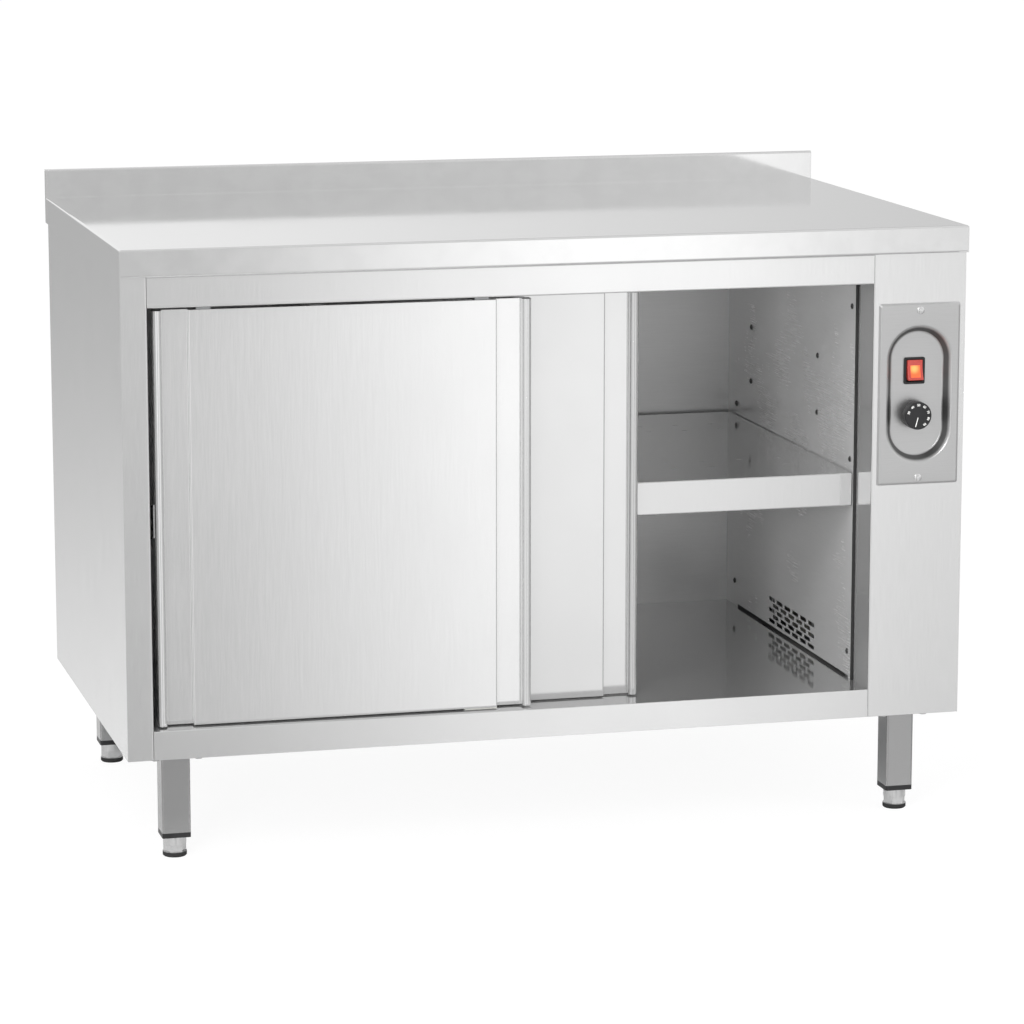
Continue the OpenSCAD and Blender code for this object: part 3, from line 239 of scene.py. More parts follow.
# turn is the angle to the right of -Y, and lift the angle above level, both in degrees
turn = maths(tree, "MULTIPLY", maths(tree, "ARCTAN2", axes["X"], maths(tree, "MULTIPLY", axes["Y"], -1.0)),
             180 / math.pi)
lift = maths(tree, "MULTIPLY", maths(tree, "ARCSINE", axes["Z"]), 180 / math.pi)
down = maths(tree, "MULTIPLY", lift, -1.0)
around = maths(tree, "ABSOLUTE", turn)


def steps(value, start, *changes):
    """A brightness that starts at a level and changes smoothly between pairs of angles."""
    level = start
    for low, high, change in changes:
        level = maths(tree, "ADD", remap(tree, value, low, high, 0.0, change), level)
    return level


front_floor = maths(tree, "MULTIPLY", steps(turn, *FLOOR_AHEAD), steps(down, *FLOOR_NEAR_AHEAD))
back_floor = maths(tree, "ADD", steps(down, *FLOOR_NEAR_BEHIND), steps(around, *FLOOR_BEHIND))
behind = remap(tree, around, *SIDEWAYS)
floor_glow = blend(tree, behind, front_floor, back_floor)
sky_glow = blend(tree, behind, steps(turn, *SKY_AHEAD), steps(around, *SKY_BEHIND))
glow = blend(tree, remap(tree, lift, *HORIZON), floor_glow, sky_glow)
shine = put(tree, "ShaderNodeBackground", {"Color": (1, 1, 1, 1), "Strength": glow})
plain = put(tree, "ShaderNodeBackground", {"Color": (1, 1, 1, 1), "Strength": 1.0})
soft = put(tree, "ShaderNodeBackground", {"Color": (1, 1, 1, 1), "Strength": ROOM_LIGHT})
seen, mirrored = ray_masks(tree)
lit = put(tree, "ShaderNodeMixShader", {0: mirrored, 1: soft.outputs[0], 2: shine.outputs[0]})
both = put(tree, "ShaderNodeMixShader", {0: seen, 1: lit.outputs[0], 2: plain.outputs[0]})
put(tree, "ShaderNodeOutputWorld", {"Surface": both.outputs[0]})

# %% [markdown]
# ## The lamps
# The air alone lights every side alike. A broad key lamp at the front left adds the soft
# change from side to side, a weaker one at the right lifts the far edges, and a small one
# looks through the door opening, where little of the air reaches. The last two would show
# as bright spots in the steel, so reflections pass over them.

# %% Lamps
def lamp(name, place, aim, width, height, power):
    """A soft rectangular lamp that points at a place and isn't seen itself."""
    data = bpy.data.lights.new(name, "AREA")
    data.shape = "RECTANGLE"
    data.size = width
    data.size_y = height
    data.energy = power
    made = bpy.data.objects.new(name, data)
    made.location = place
    made.rotation_euler = (Vector(aim) - Vector(place)).to_track_quat("-Z", "Y").to_euler()
    made.visible_camera = False
    scene.collection.objects.link(made)
    return made


lamp("key", (-2.6, -3.4, 3.2), aim=(0, 0, 0.5), width=2.4, height=1.8, power=60)
fill = lamp("fill", (3.2, -2.4, 2.2), aim=(0, 0, 0.5), width=1.6, height=1.6, power=22)
inner = lamp("into the opening", (-1.7, -2.7, 0.8), aim=(0.46, -0.1, 0.5), width=0.7, height=1.1, power=40)
for unseen in (fill, inner):
    unseen.visible_glossy = False

# %% [markdown]
# ## What steel sheet looks like up close
# Rolled and brushed sheet carries fine parallel lines. One group makes them from noise
# that is squeezed across the lines and drawn out along them. A second group makes the
# slow unevenness that wiping and handling leave, which shows only as a change of gloss.

# %% Grain and handling groups
NARROW_BAND, WIDE_BAND = (0.35, 0.65), (0.3, 0.7)   # the noise values that make a full mask


def make_grain_group():
    """Fine parallel lines: a height for bumps and a mask for gloss."""
    tree, given, out = group_in("sheet grain", [
        ("Vector", VECTOR, None), ("Across", VECTOR, None), ("Lines", FLOAT, 1400.0),
        ("Drawn out", FLOAT, 60.0)], [("Height", FLOAT), ("Mask", FLOAT)])
    # positions are scaled by Lines along Across and divided by Drawn out elsewhere
    fine = put(tree, "ShaderNodeVectorMath", {0: given.outputs["Across"], 3: given.outputs["Lines"]},
               operation="SCALE")
    slow = maths(tree, "DIVIDE", given.outputs["Lines"], given.outputs["Drawn out"])
    rest = put(tree, "ShaderNodeVectorMath", {0: (1, 1, 1), 1: given.outputs["Across"]},
               operation="SUBTRACT")
    drawn = put(tree, "ShaderNodeVectorMath", {0: rest.outputs[0], 3: slow}, operation="SCALE")
    scale = put(tree, "ShaderNodeVectorMath", {0: fine.outputs[0], 1: drawn.outputs[0]}, operation="ADD")
    place = put(tree, "ShaderNodeVectorMath", {0: given.outputs["Vector"], 1: scale.outputs[0]},
                operation="MULTIPLY")
    noise = put(tree, "ShaderNodeTexNoise", {"Vector": place.outputs[0], "Scale": 1.0, "Detail": 3.0,
                                             "Roughness": 0.6})
    tree.links.new(noise.outputs[0], out.inputs["Height"])
    tree.links.new(remap(tree, noise.outputs[0], *NARROW_BAND), out.inputs["Mask"])
    return tree


def make_handling_group():
    """Slow unevenness from wiping and handling, as a mask."""
    tree, given, out = group_in("handling", [("Vector", VECTOR, None), ("Size", FLOAT, 6.0)],
                                [("Mask", FLOAT)])
    broad = put(tree, "ShaderNodeTexNoise", {
        "Vector": given.outputs["Vector"], "Scale": given.outputs["Size"], "Detail": 4.0,
        "Roughness": 0.55})
    tree.links.new(remap(tree, broad.outputs[0], *WIDE_BAND), out.inputs["Mask"])
    return tree


GRAIN = make_grain_group()
HANDLING = make_handling_group()

# %% [markdown]
# ## The steel finishes
# All the steel shares one recipe: a metal shader whose gloss follows the grain and the
# handling, a very faint bump along the grain, and edges that the light sees as slightly
# rounded, as every folded or cut sheet has. What differs is how bright, how smooth and in
# which direction each sheet was rolled.

# %% Steel recipe
EDGE_ROUND = 0.7 * MM
GRAIN_DEPTH, GRAIN_LINES = 0.2 * MM, 1400.0
GLOSS_SPREAD = 0.05       # how far the roughness changes with the grain and the handling
DULL_SHARE = 0.965        # how bright the dull lines of the grain are, beside the bright ones
METAL_SHARE = 0.94        # the share of a sheet that mirrors
UP, ACROSS, DEEP = (0, 0, 1), (1, 0, 0), (0, 1, 0)


def surface(name, **plain):
    """A material with a Principled shader: the material, its tree, shader and Object coordinates."""
    material = bpy.data.materials.new(name)
    material.use_nodes = True
    tree = material.node_tree
    shader = tree.nodes["Principled BSDF"]
    for socket, value in plain.items():
        shader.inputs[socket.replace("_", " ")].default_value = value
    return material, tree, shader, object_place(tree)


def steel(name, tone, gloss, lines_across, tint=(1, 1, 1), grain_bump=0.02, metal=METAL_SHARE):
    """Stainless sheet: tone is how bright, gloss its mean roughness, metal the share that mirrors."""
    material, tree, shader, place = surface(name, Metallic=metal)
    grain = put(tree, "ShaderNodeGroup", node_tree=GRAIN)
    grain.inputs["Across"].default_value = lines_across
    grain.inputs["Lines"].default_value = GRAIN_LINES
    tree.links.new(place, grain.inputs["Vector"])
    wiped = put(tree, "ShaderNodeGroup", node_tree=HANDLING)
    tree.links.new(place, wiped.inputs["Vector"])
    bright = tuple(tone * c for c in tint) + (1,)
    dull = tuple(tone * DULL_SHARE * c for c in tint) + (1,)
    colour = mixed_colour(tree, grain.outputs["Mask"], dull, bright)
    tree.links.new(colour, shader.inputs["Base Color"])
    rough = maths(tree, "MULTIPLY_ADD", grain.outputs["Mask"], GLOSS_SPREAD / 2, gloss - GLOSS_SPREAD / 2)
    rough = maths(tree, "MULTIPLY_ADD", wiped.outputs["Mask"], GLOSS_SPREAD / 2, rough)
    tree.links.new(rough, shader.inputs["Roughness"])
    softened = put(tree, "ShaderNodeBevel", {"Radius": EDGE_ROUND}, samples=4)
    bump = put(tree, "ShaderNodeBump", {"Height": grain.outputs["Height"], "Strength": grain_bump,
                                        "Distance": GRAIN_DEPTH, "Normal": softened.outputs[0]})
    tree.links.new(bump.outputs[0], shader.inputs["Normal"])
    return material


finishes = {
    "polished_steel": steel("polished worktop", 0.86, 0.07, DEEP, grain_bump=0.01),
    "brushed_steel": steel("satin steel", 0.86, 0.12, ACROSS),
    "door_steel": steel("satin door steel", 0.915, 0.11, ACROSS),
    "chamber_steel": steel("bright chamber steel", 0.64, 0.09, ACROSS, grain_bump=0.01, metal=0.78),
    "duct_steel": steel("duct cover steel", 0.86, 0.26, UP, grain_bump=0.02, metal=0.4),
    "shelf_steel": steel("shelf steel", 0.72, 0.10, ACROSS, grain_bump=0.01),
    "liner_steel": steel("satin liner steel", 0.84, 0.30, UP, grain_bump=0.02, metal=0.5),
    "plate_steel": steel("satin control plate", 0.71, 0.36, UP, grain_bump=0.03),
    "tube_steel": steel("square tube", 0.47, 0.2, UP),
    # the rear door's steel is darker than the front door's: painted shade for the front door's shadow on
    # it
    "rear_door_shaded_steel": steel("rear door steel with painted shade", 0.78, 0.12, ACROSS),
    "column_steel": steel("column steel", 0.86, 0.12, ACROSS),
    "galvanised_steel": steel("zinc coated steel", 0.55, 0.38, ACROSS, tint=(0.97, 0.99, 1)),
    "screw_steel": steel("screw steel", 0.62, 0.22, ACROSS),
    "aluminium": steel("drawn aluminium", 0.72, 0.32, UP),
    "shaft_steel": steel("turned steel", 0.62, 0.25, DEEP),
    "heater_steel": steel("heater sheath", 0.60, 0.35, DEEP, tint=(1, 0.97, 0.92)),
    "foot_steel": steel("foot with rubber pad", 0.74, 0.2, UP),
    "copper": steel("drawn copper", 0.7, 0.28, UP, tint=(1, 0.62, 0.42)),
}

# %% [markdown]
# ## Plastics, rubber, board and wool
# The other stuffs are quieter. Moulded plastic has a fine pebbled skin, board shows its
# chips and mineral wool its fibres, so each gets its own noise at its own size.

# %% Other finishes
PEBBLE_DEPTH, WORN_SPREAD = 0.3 * MM, 0.04
RUBBER_BLACK, RUBBER_ROUGH = (0.02, 0.02, 0.02), 0.7


def moulded(name, colour, gloss, pebbles=900.0, bump=0.05):
    """Moulded stuff: one colour, a little uneven, with a fine pebbled skin."""
    material, tree, shader, place = surface(name)
    skin = put(tree, "ShaderNodeTexNoise", {"Vector": place, "Scale": pebbles, "Detail": 2.0})
    broad = put(tree, "ShaderNodeTexNoise", {"Vector": place, "Scale": 25.0, "Detail": 3.0})
    light = tuple(min(1, c * 1.12 + 0.004) for c in colour) + (1,)
    patchy = mixed_colour(tree, remap(tree, broad.outputs[0], *NARROW_BAND), colour + (1,), light)
    tree.links.new(patchy, shader.inputs["Base Color"])
    rough = remap(tree, broad.outputs[0], *WIDE_BAND, gloss - WORN_SPREAD, gloss + WORN_SPREAD)
    tree.links.new(rough, shader.inputs["Roughness"])
    bumped = put(tree, "ShaderNodeBump", {"Height": skin.outputs[0], "Strength": bump,
                                          "Distance": PEBBLE_DEPTH})
    tree.links.new(bumped.outputs[0], shader.inputs["Normal"])
    return material


finishes.update({
    "core_board": moulded("chipboard", (0.55, 0.40, 0.24), 0.8, 350.0, 0.4),
    "mineral_wool": moulded("mineral wool", (0.68, 0.58, 0.30), 0.95, 500.0, 1.0),
    "rubber": moulded("soft rubber", RUBBER_BLACK, RUBBER_ROUGH),
    "white_plastic": moulded("natural nylon", (0.78, 0.78, 0.74), 0.4),
    "black_plastic": moulded("black plastic", (0.012, 0.012, 0.013), 0.38),
    "knob_plastic": moulded("knob plastic", (0.014, 0.014, 0.015), 0.36),
    "red_lens": moulded("red lens", (0.75, 0.06, 0.03), 0.2, 300.0, 0.01),
    "thermostat_case": moulded("phenolic case", (0.60, 0.52, 0.38), 0.5),
    "motor_steel": moulded("motor enamel", (0.14, 0.15, 0.16), 0.42),
    "ceramic": moulded("glazed ceramic", (0.84, 0.80, 0.72), 0.15, 200.0, 0.02),
})

# %% [markdown]
# ## Finishes that change over one part
# The column's return, inside the door opening, was never polished after it was folded and
# scatters more light than its front. The screw feet stand on a black rubber pad. Both are
# one solid each, so the change is made by place: a mask from the height or the depth in
# the part's own coordinates, which stay with it when it moves.

# %% Column return and foot pads
RETURN_DEEP = (1 * MM, 3 * MM)        # the return starts between these depths behind the front
RETURN_SKIN = (1.2 * MM, 2.2 * MM)    # and ends between these distances from its own face
RETURN_DULL = 0.24                    # how much less of it mirrors
column_low, column_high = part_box("control_column")
tree = finishes["column_steel"].node_tree
axes = axes_of(tree, object_place(tree))
beside = remap(tree, axes["X"], *(column_low[0] + skin for skin in RETURN_SKIN), 1.0, 0.0)
inside = remap(tree, axes["Y"], *(column_low[1] + deep for deep in RETURN_DEEP))
unpolished = maths(tree, "MULTIPLY", beside, inside)
tree.links.new(maths(tree, "MULTIPLY_ADD", unpolished, -RETURN_DULL, METAL_SHARE),
               tree.nodes["Principled BSDF"].inputs["Metallic"])

PAD_HEIGHT, PAD_EDGE = 7 * MM, (-0.3 * MM, 0.1 * MM)
tree = finishes["foot_steel"].node_tree
shader = tree.nodes["Principled BSDF"]
height = axes_of(tree, object_place(tree))["Z"]
steel_part = remap(tree, height, *(PAD_HEIGHT + edge for edge in PAD_EDGE))
colour = mixed_colour(tree, steel_part, RUBBER_BLACK + (1,), fed_by(shader, "Base Color"))
rubber_rough = maths(tree, "MULTIPLY_ADD", steel_part, -RUBBER_ROUGH, RUBBER_ROUGH)
rough = maths(tree, "MAXIMUM", fed_by(shader, "Roughness"), rubber_rough)
tree.links.new(colour, shader.inputs["Base Color"])
tree.links.new(maths(tree, "MULTIPLY", steel_part, METAL_SHARE), shader.inputs["Metallic"])
tree.links.new(rough, shader.inputs["Roughness"])

# %% [markdown]
# ## Which part gets which finish
# Each part of the frame has a material slot, and most take their slot's finish. A few
# sheets of the same steel look different from their neighbours, because they were rolled
# or rubbed another way, so they are named here. The rear door's skin is made darker than
# the front door, as painted shade for the front door's shadow on it.

# %% Finish for every node
own_finish = {"duct_cover": "duct_steel", "control_plate": "plate_steel", "shelf": "shelf_steel",
              "control_column": "column_steel", "back_liner": "liner_steel", "left_liner": "liner_steel",
              "ceiling_liner": "liner_steel", "rear_door_skin": "rear_door_shaded_steel"}
own_finish.update({name: "tube_steel" for name in frame["nodes"]
                   if name.startswith("leg_") and slot_of[name] == "brushed_steel"})
for name, node in frame["nodes"].items():
    for slot in node.material_slots:
        slot.material = finishes[own_finish.get(name, slot_of[name])]
print("finished nodes:", len(frame["nodes"]))

# %% [markdown]
# ## Making a piece
# A piece that stands for a part of the frame keeps its place in its mesh, rides on a body
# and hides the part, and it takes the finish that it is given. Its faces are smooth, and
# edges sharper than an angle stay crisp.

# %% Piece helpers
def finish_piece(piece, material, body, stands_for=None, crisp=35):
    """Give a mesh object its finish and let it ride, in place of a part of the frame."""
    mesh = piece.data
    mesh.materials.clear()
    mesh.materials.append(material)
    mesh.polygons.foreach_set("use_smooth", [True] * len(mesh.polygons))
    mesh.set_sharp_from_angle(angle=math.radians(crisp))
    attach(piece, body)
    if stands_for:
        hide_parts(stands_for)
    print(piece.name, "faces:", len(mesh.polygons))
    return piece


def from_bmesh(name, bm):
    """A new object from a bmesh, with doubles merged and faces turned outwards."""
    bmesh.ops.remove_doubles(bm, verts=bm.verts, dist=1e-6)
    bmesh.ops.recalc_face_normals(bm, faces=bm.faces)
    mesh = bpy.data.meshes.new(name)
    bm.to_mesh(mesh)
    bm.free()
    piece = bpy.data.objects.new(name, mesh)
    scene.collection.objects.link(piece)
    return piece


def settled(piece):
    """The piece with its modifiers made part of its mesh."""
    bpy.context.view_layer.update()
    solid = bpy.data.meshes.new_from_object(piece.evaluated_get(bpy.context.evaluated_depsgraph_get()))
    solid.name = piece.name
    piece.modifiers.clear()
    piece.data = solid
    return piece


def rounded(path, radii, parts=6):
    """A path of points with each inner corner turned into an arc of its radius."""
    points = [Vector(path[0])]
    for before, corner, after, radius in zip(path, path[1:], path[2:], radii):
        corner = Vector(corner)
        come = (Vector(before) - corner).normalized()
        go = (Vector(after) - corner).normalized()
        half = come.angle(go) / 2
        centre = corner + (come + go).normalized() * radius / math.sin(half)
        first = corner + come * radius / math.tan(half) - centre
        last = corner + go * radius / math.tan(half) - centre
        points += [centre + first.slerp(last, k / parts).normalized() * radius for k in range(parts + 1)]
    return points + [Vector(path[-1])]


def bridge(bm, first, second):
    """Quads between two rings of the same count."""
    for k in range(len(first)):
        after = (k + 1) % len(first)
        bm.faces.new((first[k], first[after], second[after], second[k]))


def loft(bm, rings):
    """Quads between each ring and the next."""
    for first, second in zip(rings, rings[1:]):
        bridge(bm, first, second)


def middle(low, high):
    """The middle of a box in X and in Z."""
    return (low[0] + high[0]) / 2, (low[2] + high[2]) / 2


# %% [markdown]
# ## The pressed control plate
# The plate is one sheet, pressed in a tool: its rim leans back to the column, and a
# stadium-shaped pan sinks into it with soft edges, because sheet can't take a sharp bend.
# Every ring of such a shape is a rectangle with rounded corners, from the almost square
# rim to the pan, whose corners are so large that they meet. So the plate is a loft of
# those rings along two rounded profiles. A sheet thickness and the holes come last.

# %% Control plate
plate_low, plate_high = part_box("control_plate")
plate_x, plate_z = middle(plate_low, plate_high)
plate_width, plate_height = plate_high[0] - plate_low[0], plate_high[2] - plate_low[2]
plate_front = plate_low[1]
PLATE_RISE, PLATE_LEAN, PLATE_SHEET = 4 * MM, 3 * MM, 1.2 * MM
PLATE_FOLD, PLATE_CORNER, CORNER_LEAST, CORNER_LOSS = 2.5 * MM, 3.6 * MM, 1.2 * MM, 0.6
PAN_DEPTH, PAN_RIM, PAN_FLOOR, PAN_STRAIGHT = 13 * MM, 47.8 * MM, 38 * MM, 98.5 * MM
PAN_FOLDS, PAN_ROUND_IN, PAN_ROUND_OUT = [4.2 * MM, 2.6 * MM], 4.5 * MM, 8 * MM
CORNER_STEPS, HAIR = 20, 0.01 * MM


def rounded_ring(bm, centre, width, height, corner):
    """A rectangle with rounded corners round a centre, upright and facing forward."""
    ring = []
    for quarter, (side, top) in enumerate(((1, 1), (-1, 1), (-1, -1), (1, -1))):
        for k in range(CORNER_STEPS):
            angle = math.radians(90 * (quarter + k / (CORNER_STEPS - 1)))
            ring.append(bm.verts.new((
                centre[0] + side * (width / 2 - corner) + corner * math.cos(angle), centre[1],
                centre[2] + top * (height / 2 - corner) + corner * math.sin(angle))))
    return ring


bm = bmesh.new()
rim = rounded([(0, PLATE_RISE), (PLATE_LEAN, 0), (3 * PLATE_LEAN, 0)], [PLATE_FOLD])
pan = rounded([(PAN_RIM - PAN_FLOOR + PAN_ROUND_IN, 0), (PAN_RIM - PAN_FLOOR, 0), (0, PAN_DEPTH),
               (-PAN_ROUND_OUT, PAN_DEPTH)], PAN_FOLDS, 8)
rings = [rounded_ring(bm, (plate_x, plate_front + back, plate_z), plate_width - 2 * inset,
                      plate_height - 2 * inset, max(PLATE_CORNER - CORNER_LOSS * inset, CORNER_LEAST))
         for inset, back in rim[:-1]]
# the pan's rings keep a hair of straight at the top, so that their points stay apart
for out, back in pan[1:-1]:
    radius = PAN_FLOOR + out
    rings.append(rounded_ring(bm, (plate_x, plate_front + back, plate_z), 2 * radius,
                              PAN_STRAIGHT + 2 * radius, radius - HAIR))
loft(bm, rings)
bm.faces.new(rings[-1])
bmesh.ops.remove_doubles(bm, verts=bm.verts, dist=1e-6)
plate_mesh = bpy.data.meshes.new("pressed_plate")
bm.normal_update()
# the sheet is open at its rim, so the way that it faces is read off its whole area
if sum(face.normal.y * face.calc_area() for face in bm.faces) > 0:
    bmesh.ops.reverse_faces(bm, faces=bm.faces)
bm.to_mesh(plate_mesh)
bm.free()
pressed_plate = bpy.data.objects.new("pressed_plate", plate_mesh)
scene.collection.objects.link(pressed_plate)
sheet = pressed_plate.modifiers.new("sheet", "SOLIDIFY")
sheet.thickness = PLATE_SHEET
sheet.offset = -1

# %% [markdown]
# The holes are cut with one hidden block and one hidden round bar, sized from the switch
# and the knob's shaft. A Boolean does it, and the cutters are removed again.

# %% Holes in the plate
SWITCH_LAP = (3.4 * MM, 5.4 * MM)     # how much the switch is larger than its hole, both ways
SHAFT_HOLE, CUT_DEPTH = 4 * MM, 12 * MM
housing_low, housing_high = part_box("switch_housing")
housing_x, housing_z = middle(housing_low, housing_high)
frame_width, frame_height = housing_high[0] - housing_low[0], housing_high[2] - housing_low[2]
shaft_x, shaft_z = middle(*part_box("thermostat_shaft"))
cutters = bmesh.new()
hole = Matrix.LocRotScale(
    Vector((housing_x, plate_front + PAN_DEPTH, housing_z)), None,
    Vector((frame_width - SWITCH_LAP[0], CUT_DEPTH, frame_height - SWITCH_LAP[1])))
bmesh.ops.create_cube(cutters, size=1, matrix=hole)
bmesh.ops.create_cone(
    cutters, cap_ends=True, segments=24, radius1=SHAFT_HOLE, radius2=SHAFT_HOLE, depth=CUT_DEPTH,
    matrix=Matrix.Translation((shaft_x, plate_front + PAN_DEPTH, shaft_z))
    @ Matrix.Rotation(math.pi / 2, 4, "X"))
cutter = from_bmesh("cutter", cutters)
cut = pressed_plate.modifiers.new("holes", "BOOLEAN")
cut.operation = "DIFFERENCE"
cut.solver = "EXACT"
cut.object = cutter
settled(pressed_plate)
bpy.data.objects.remove(cutter)

# %% [markdown]
# The wall of the pan is painted darker, as painted shade for the shade inside the recess.
# It is found by its depth behind the plate's front, and the plate's own rim, which has the same
# depth, is kept out by its distance from the plate's middle.

# %% Painted shade on the pan wall
# a dark grey painted on the pan's wall: painted shade for the recess
PAN_SHADE_GREY = (0.17, 0.17, 0.17, 1)
WALL_STARTS = (1.6 * MM, 5.4 * MM)    # behind the plate's front
WALL_ENDS = (2.6 * MM, 1.1 * MM)      # before the pan's floor
RIM_ASIDE, RIM_ABOVE = (8 * MM, 6 * MM), (16 * MM, 12 * MM)   # in from the plate's edges
tree = finishes["plate_steel"].node_tree
shader = tree.nodes["Principled BSDF"]
place = object_place(tree)
deep = axes_of(tree, place)["Y"]
wall = maths(tree, "MULTIPLY", remap(tree, deep, *(plate_front + start for start in WALL_STARTS)),
             remap(tree, deep, *(plate_front + PAN_DEPTH - end for end in WALL_ENDS), 1.0, 0.0))
offset = put(tree, "ShaderNodeVectorMath", {0: place, 1: (plate_x, 0, plate_z)}, operation="SUBTRACT")
apart = axes_of(tree, put(tree, "ShaderNodeVectorMath", {0: offset.outputs[0]},
                          operation="ABSOLUTE").outputs[0])
for axis, half, rim_span in (("X", plate_width / 2, RIM_ASIDE), ("Z", plate_height / 2, RIM_ABOVE)):
    wall = maths(tree, "MULTIPLY", wall,
                 remap(tree, apart[axis], *(half - width for width in rim_span), 1.0, 0.0))
# painted shade: the pan's wall is mixed towards the dark grey, for the shade inside the recess
tree.links.new(mixed_colour(tree, wall, fed_by(shader, "Base Color"), PAN_SHADE_GREY),
               shader.inputs["Base Color"])
finish_piece(pressed_plate, finishes["plate_steel"], "cabinet", "control_plate", 40)

# %% [markdown]
# ## The knob and its dial
# The knob is a turned shape: a narrow neck at the panel, a wide cap in front, and a small
# radius all round the cap, which is what catches the light. A turned shape is a profile
# swept round an axis. The numbers and the pointer are printed, so they are thin letters
# laid on the cap, and each stands along its own radius.

# %% Knob
knob_low, knob_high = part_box("knob")
knob_x, knob_z = middle(knob_low, knob_high)
knob_front, knob_back = knob_low[1], knob_high[1]
KNOB_RADIUS, NECK_RADIUS, CAP_DEPTH, CAP_TAPER, KNOB_SIDES = 20 * MM, 14.5 * MM, 12.5 * MM, 0.4 * MM, 96
NECK_FLAT, CAP_FLAT = 2 * MM, 6 * MM
# the radii at the neck's foot, below the cap, at the cap's back and at its front
KNOB_ROUNDINGS = [0.4 * MM, 0.8 * MM, 0.6 * MM, 1.1 * MM]


def turned(name, profile, centre_x, centre_z, sides):
    """A shape turned about a front-to-back axis from (radius, y) points, closed at both ends."""
    bm = bmesh.new()
    rings = [[bm.verts.new((centre_x + radius * math.cos(2 * math.pi * k / sides), y,
                            centre_z + radius * math.sin(2 * math.pi * k / sides)))
              for k in range(sides)] for radius, y in profile]
    loft(bm, rings)
    bm.faces.new(rings[0])
    bm.faces.new(rings[-1])
    return from_bmesh(name, bm)


profile = rounded([(NECK_RADIUS - NECK_FLAT, knob_back), (NECK_RADIUS, knob_back),
                   (NECK_RADIUS, knob_front + CAP_DEPTH), (KNOB_RADIUS, knob_front + CAP_DEPTH),
                   (KNOB_RADIUS - CAP_TAPER, knob_front), (KNOB_RADIUS - CAP_FLAT, knob_front)],
                  KNOB_ROUNDINGS, 5)
dial_knob = turned("dial_knob", [tuple(p) for p in profile], knob_x, knob_z, KNOB_SIDES)
finish_piece(dial_knob, finishes["knob_plastic"], "knob", "knob", 40)

# %% Dial print
PRINT_RADIUS, PRINT_HEIGHT, PRINT_RISE, PRINT_BOLD = 15.2 * MM, 4.6 * MM, 0.12 * MM, 0.12 * MM
FIRST_NUMBER, NUMBER_STEP, NUMBERS = 30, 10, 7
FIRST_TURN, TURN_STEP = -71, 35.5     # degrees, clockwise from the top
POINTER_TURN, POINTER_OUT, POINTER_WIDTH, POINTER_LENGTH = 195, 9.2 * MM, 1.3 * MM, 13.5 * MM
finishes["dial_print"] = moulded("white dial print", (0.82, 0.82, 0.80), 0.5, 600.0, 0.02)
dial_face = Matrix.Translation((knob_x, knob_front, knob_z))
printed = bmesh.new()
for k in range(NUMBERS):
    letters = bpy.data.curves.new("number", "FONT")
    letters.body = str(FIRST_NUMBER + NUMBER_STEP * k)
    letters.size = PRINT_HEIGHT
    letters.align_x, letters.align_y = "CENTER", "CENTER"
    letters.resolution_u = 3
    letters.extrude = PRINT_RISE / 2
    letters.offset = PRINT_BOLD
    number = bpy.data.objects.new("number", letters)
    scene.collection.objects.link(number)
    bpy.context.view_layer.update()
    flat = bpy.data.meshes.new_from_object(
        number.evaluated_get(bpy.context.evaluated_depsgraph_get()))
    lean = math.radians(FIRST_TURN + TURN_STEP * k)
    flat.transform(dial_face @ Matrix.Rotation(lean, 4, "Y")
                   @ Matrix.Translation((0, 0, PRINT_RADIUS)) @ Matrix.Rotation(math.pi / 2, 4, "X"))
    printed.from_mesh(flat)
    bpy.data.objects.remove(number)
    bpy.data.curves.remove(letters)
    bpy.data.meshes.remove(flat)
pointer = (dial_face @ Matrix.Rotation(math.radians(POINTER_TURN), 4, "Y")
           @ Matrix.Translation((0, 0, POINTER_OUT))
           @ Matrix.Diagonal((POINTER_WIDTH, PRINT_RISE, POINTER_LENGTH, 1)))
bmesh.ops.create_cube(printed, size=1, matrix=pointer)
dial_print = from_bmesh("dial_print", printed)
finish_piece(dial_print, finishes["dial_print"], "knob")

# %% [markdown]
# ## The lit rocker switch
# A black frame clips into the plate, and in it rocks a red see-through key with a lamp
# behind. The lamp shows as a window: near yellow where it sits, orange round it, and the
# moulded rim of the key paler. The frame is lofted from the same rounded rings as the
# plate. The key is its side view pushed sideways, hollowed a little for the finger, with
# all its edges bevelled. The glow is a mask over the key's own coordinates, so it tips
# with the key.

# %% Switch frame
FRAME_FRONT, FRAME_CORNER, POCKET_DEPTH = 2.5 * MM, 2.6 * MM, 10 * MM
FRAME_LIP, BODY_IN, FRAME_ROUNDINGS = 3.5 * MM, 4.2 * MM, [0.8 * MM, 0.5 * MM]
NARROW, NARROW_ABOVE = -3.4 * MM, 0.72   # past this, walls stand in less at the top and bottom
pan_y = housing_low[1] + FRAME_FRONT
bm = bmesh.new()
shape = [(-BODY_IN, housing_high[1]), (-BODY_IN, pan_y), (0, pan_y)]
shape += [tuple(p) for p in rounded([(0, pan_y), (0, housing_low[1]), (-FRAME_LIP, housing_low[1]),
                                     (-FRAME_LIP, housing_low[1] + POCKET_DEPTH)],
                                    FRAME_ROUNDINGS, 4)[1:]]
rings = [rounded_ring(bm, (housing_x, y, housing_z), frame_width + 2 * out,
                      frame_height + 2 * (out if out > NARROW else out * NARROW_ABOVE),
                      max(FRAME_CORNER + out, 0.5 * MM))
         for out, y in shape]
loft(bm, rings)
bm.faces.new(rings[0])
bm.faces.new(rings[-1])
switch_frame = from_bmesh("switch_frame", bm)
finish_piece(switch_frame, finishes["black_plastic"], "cabinet", "switch_housing", 30)

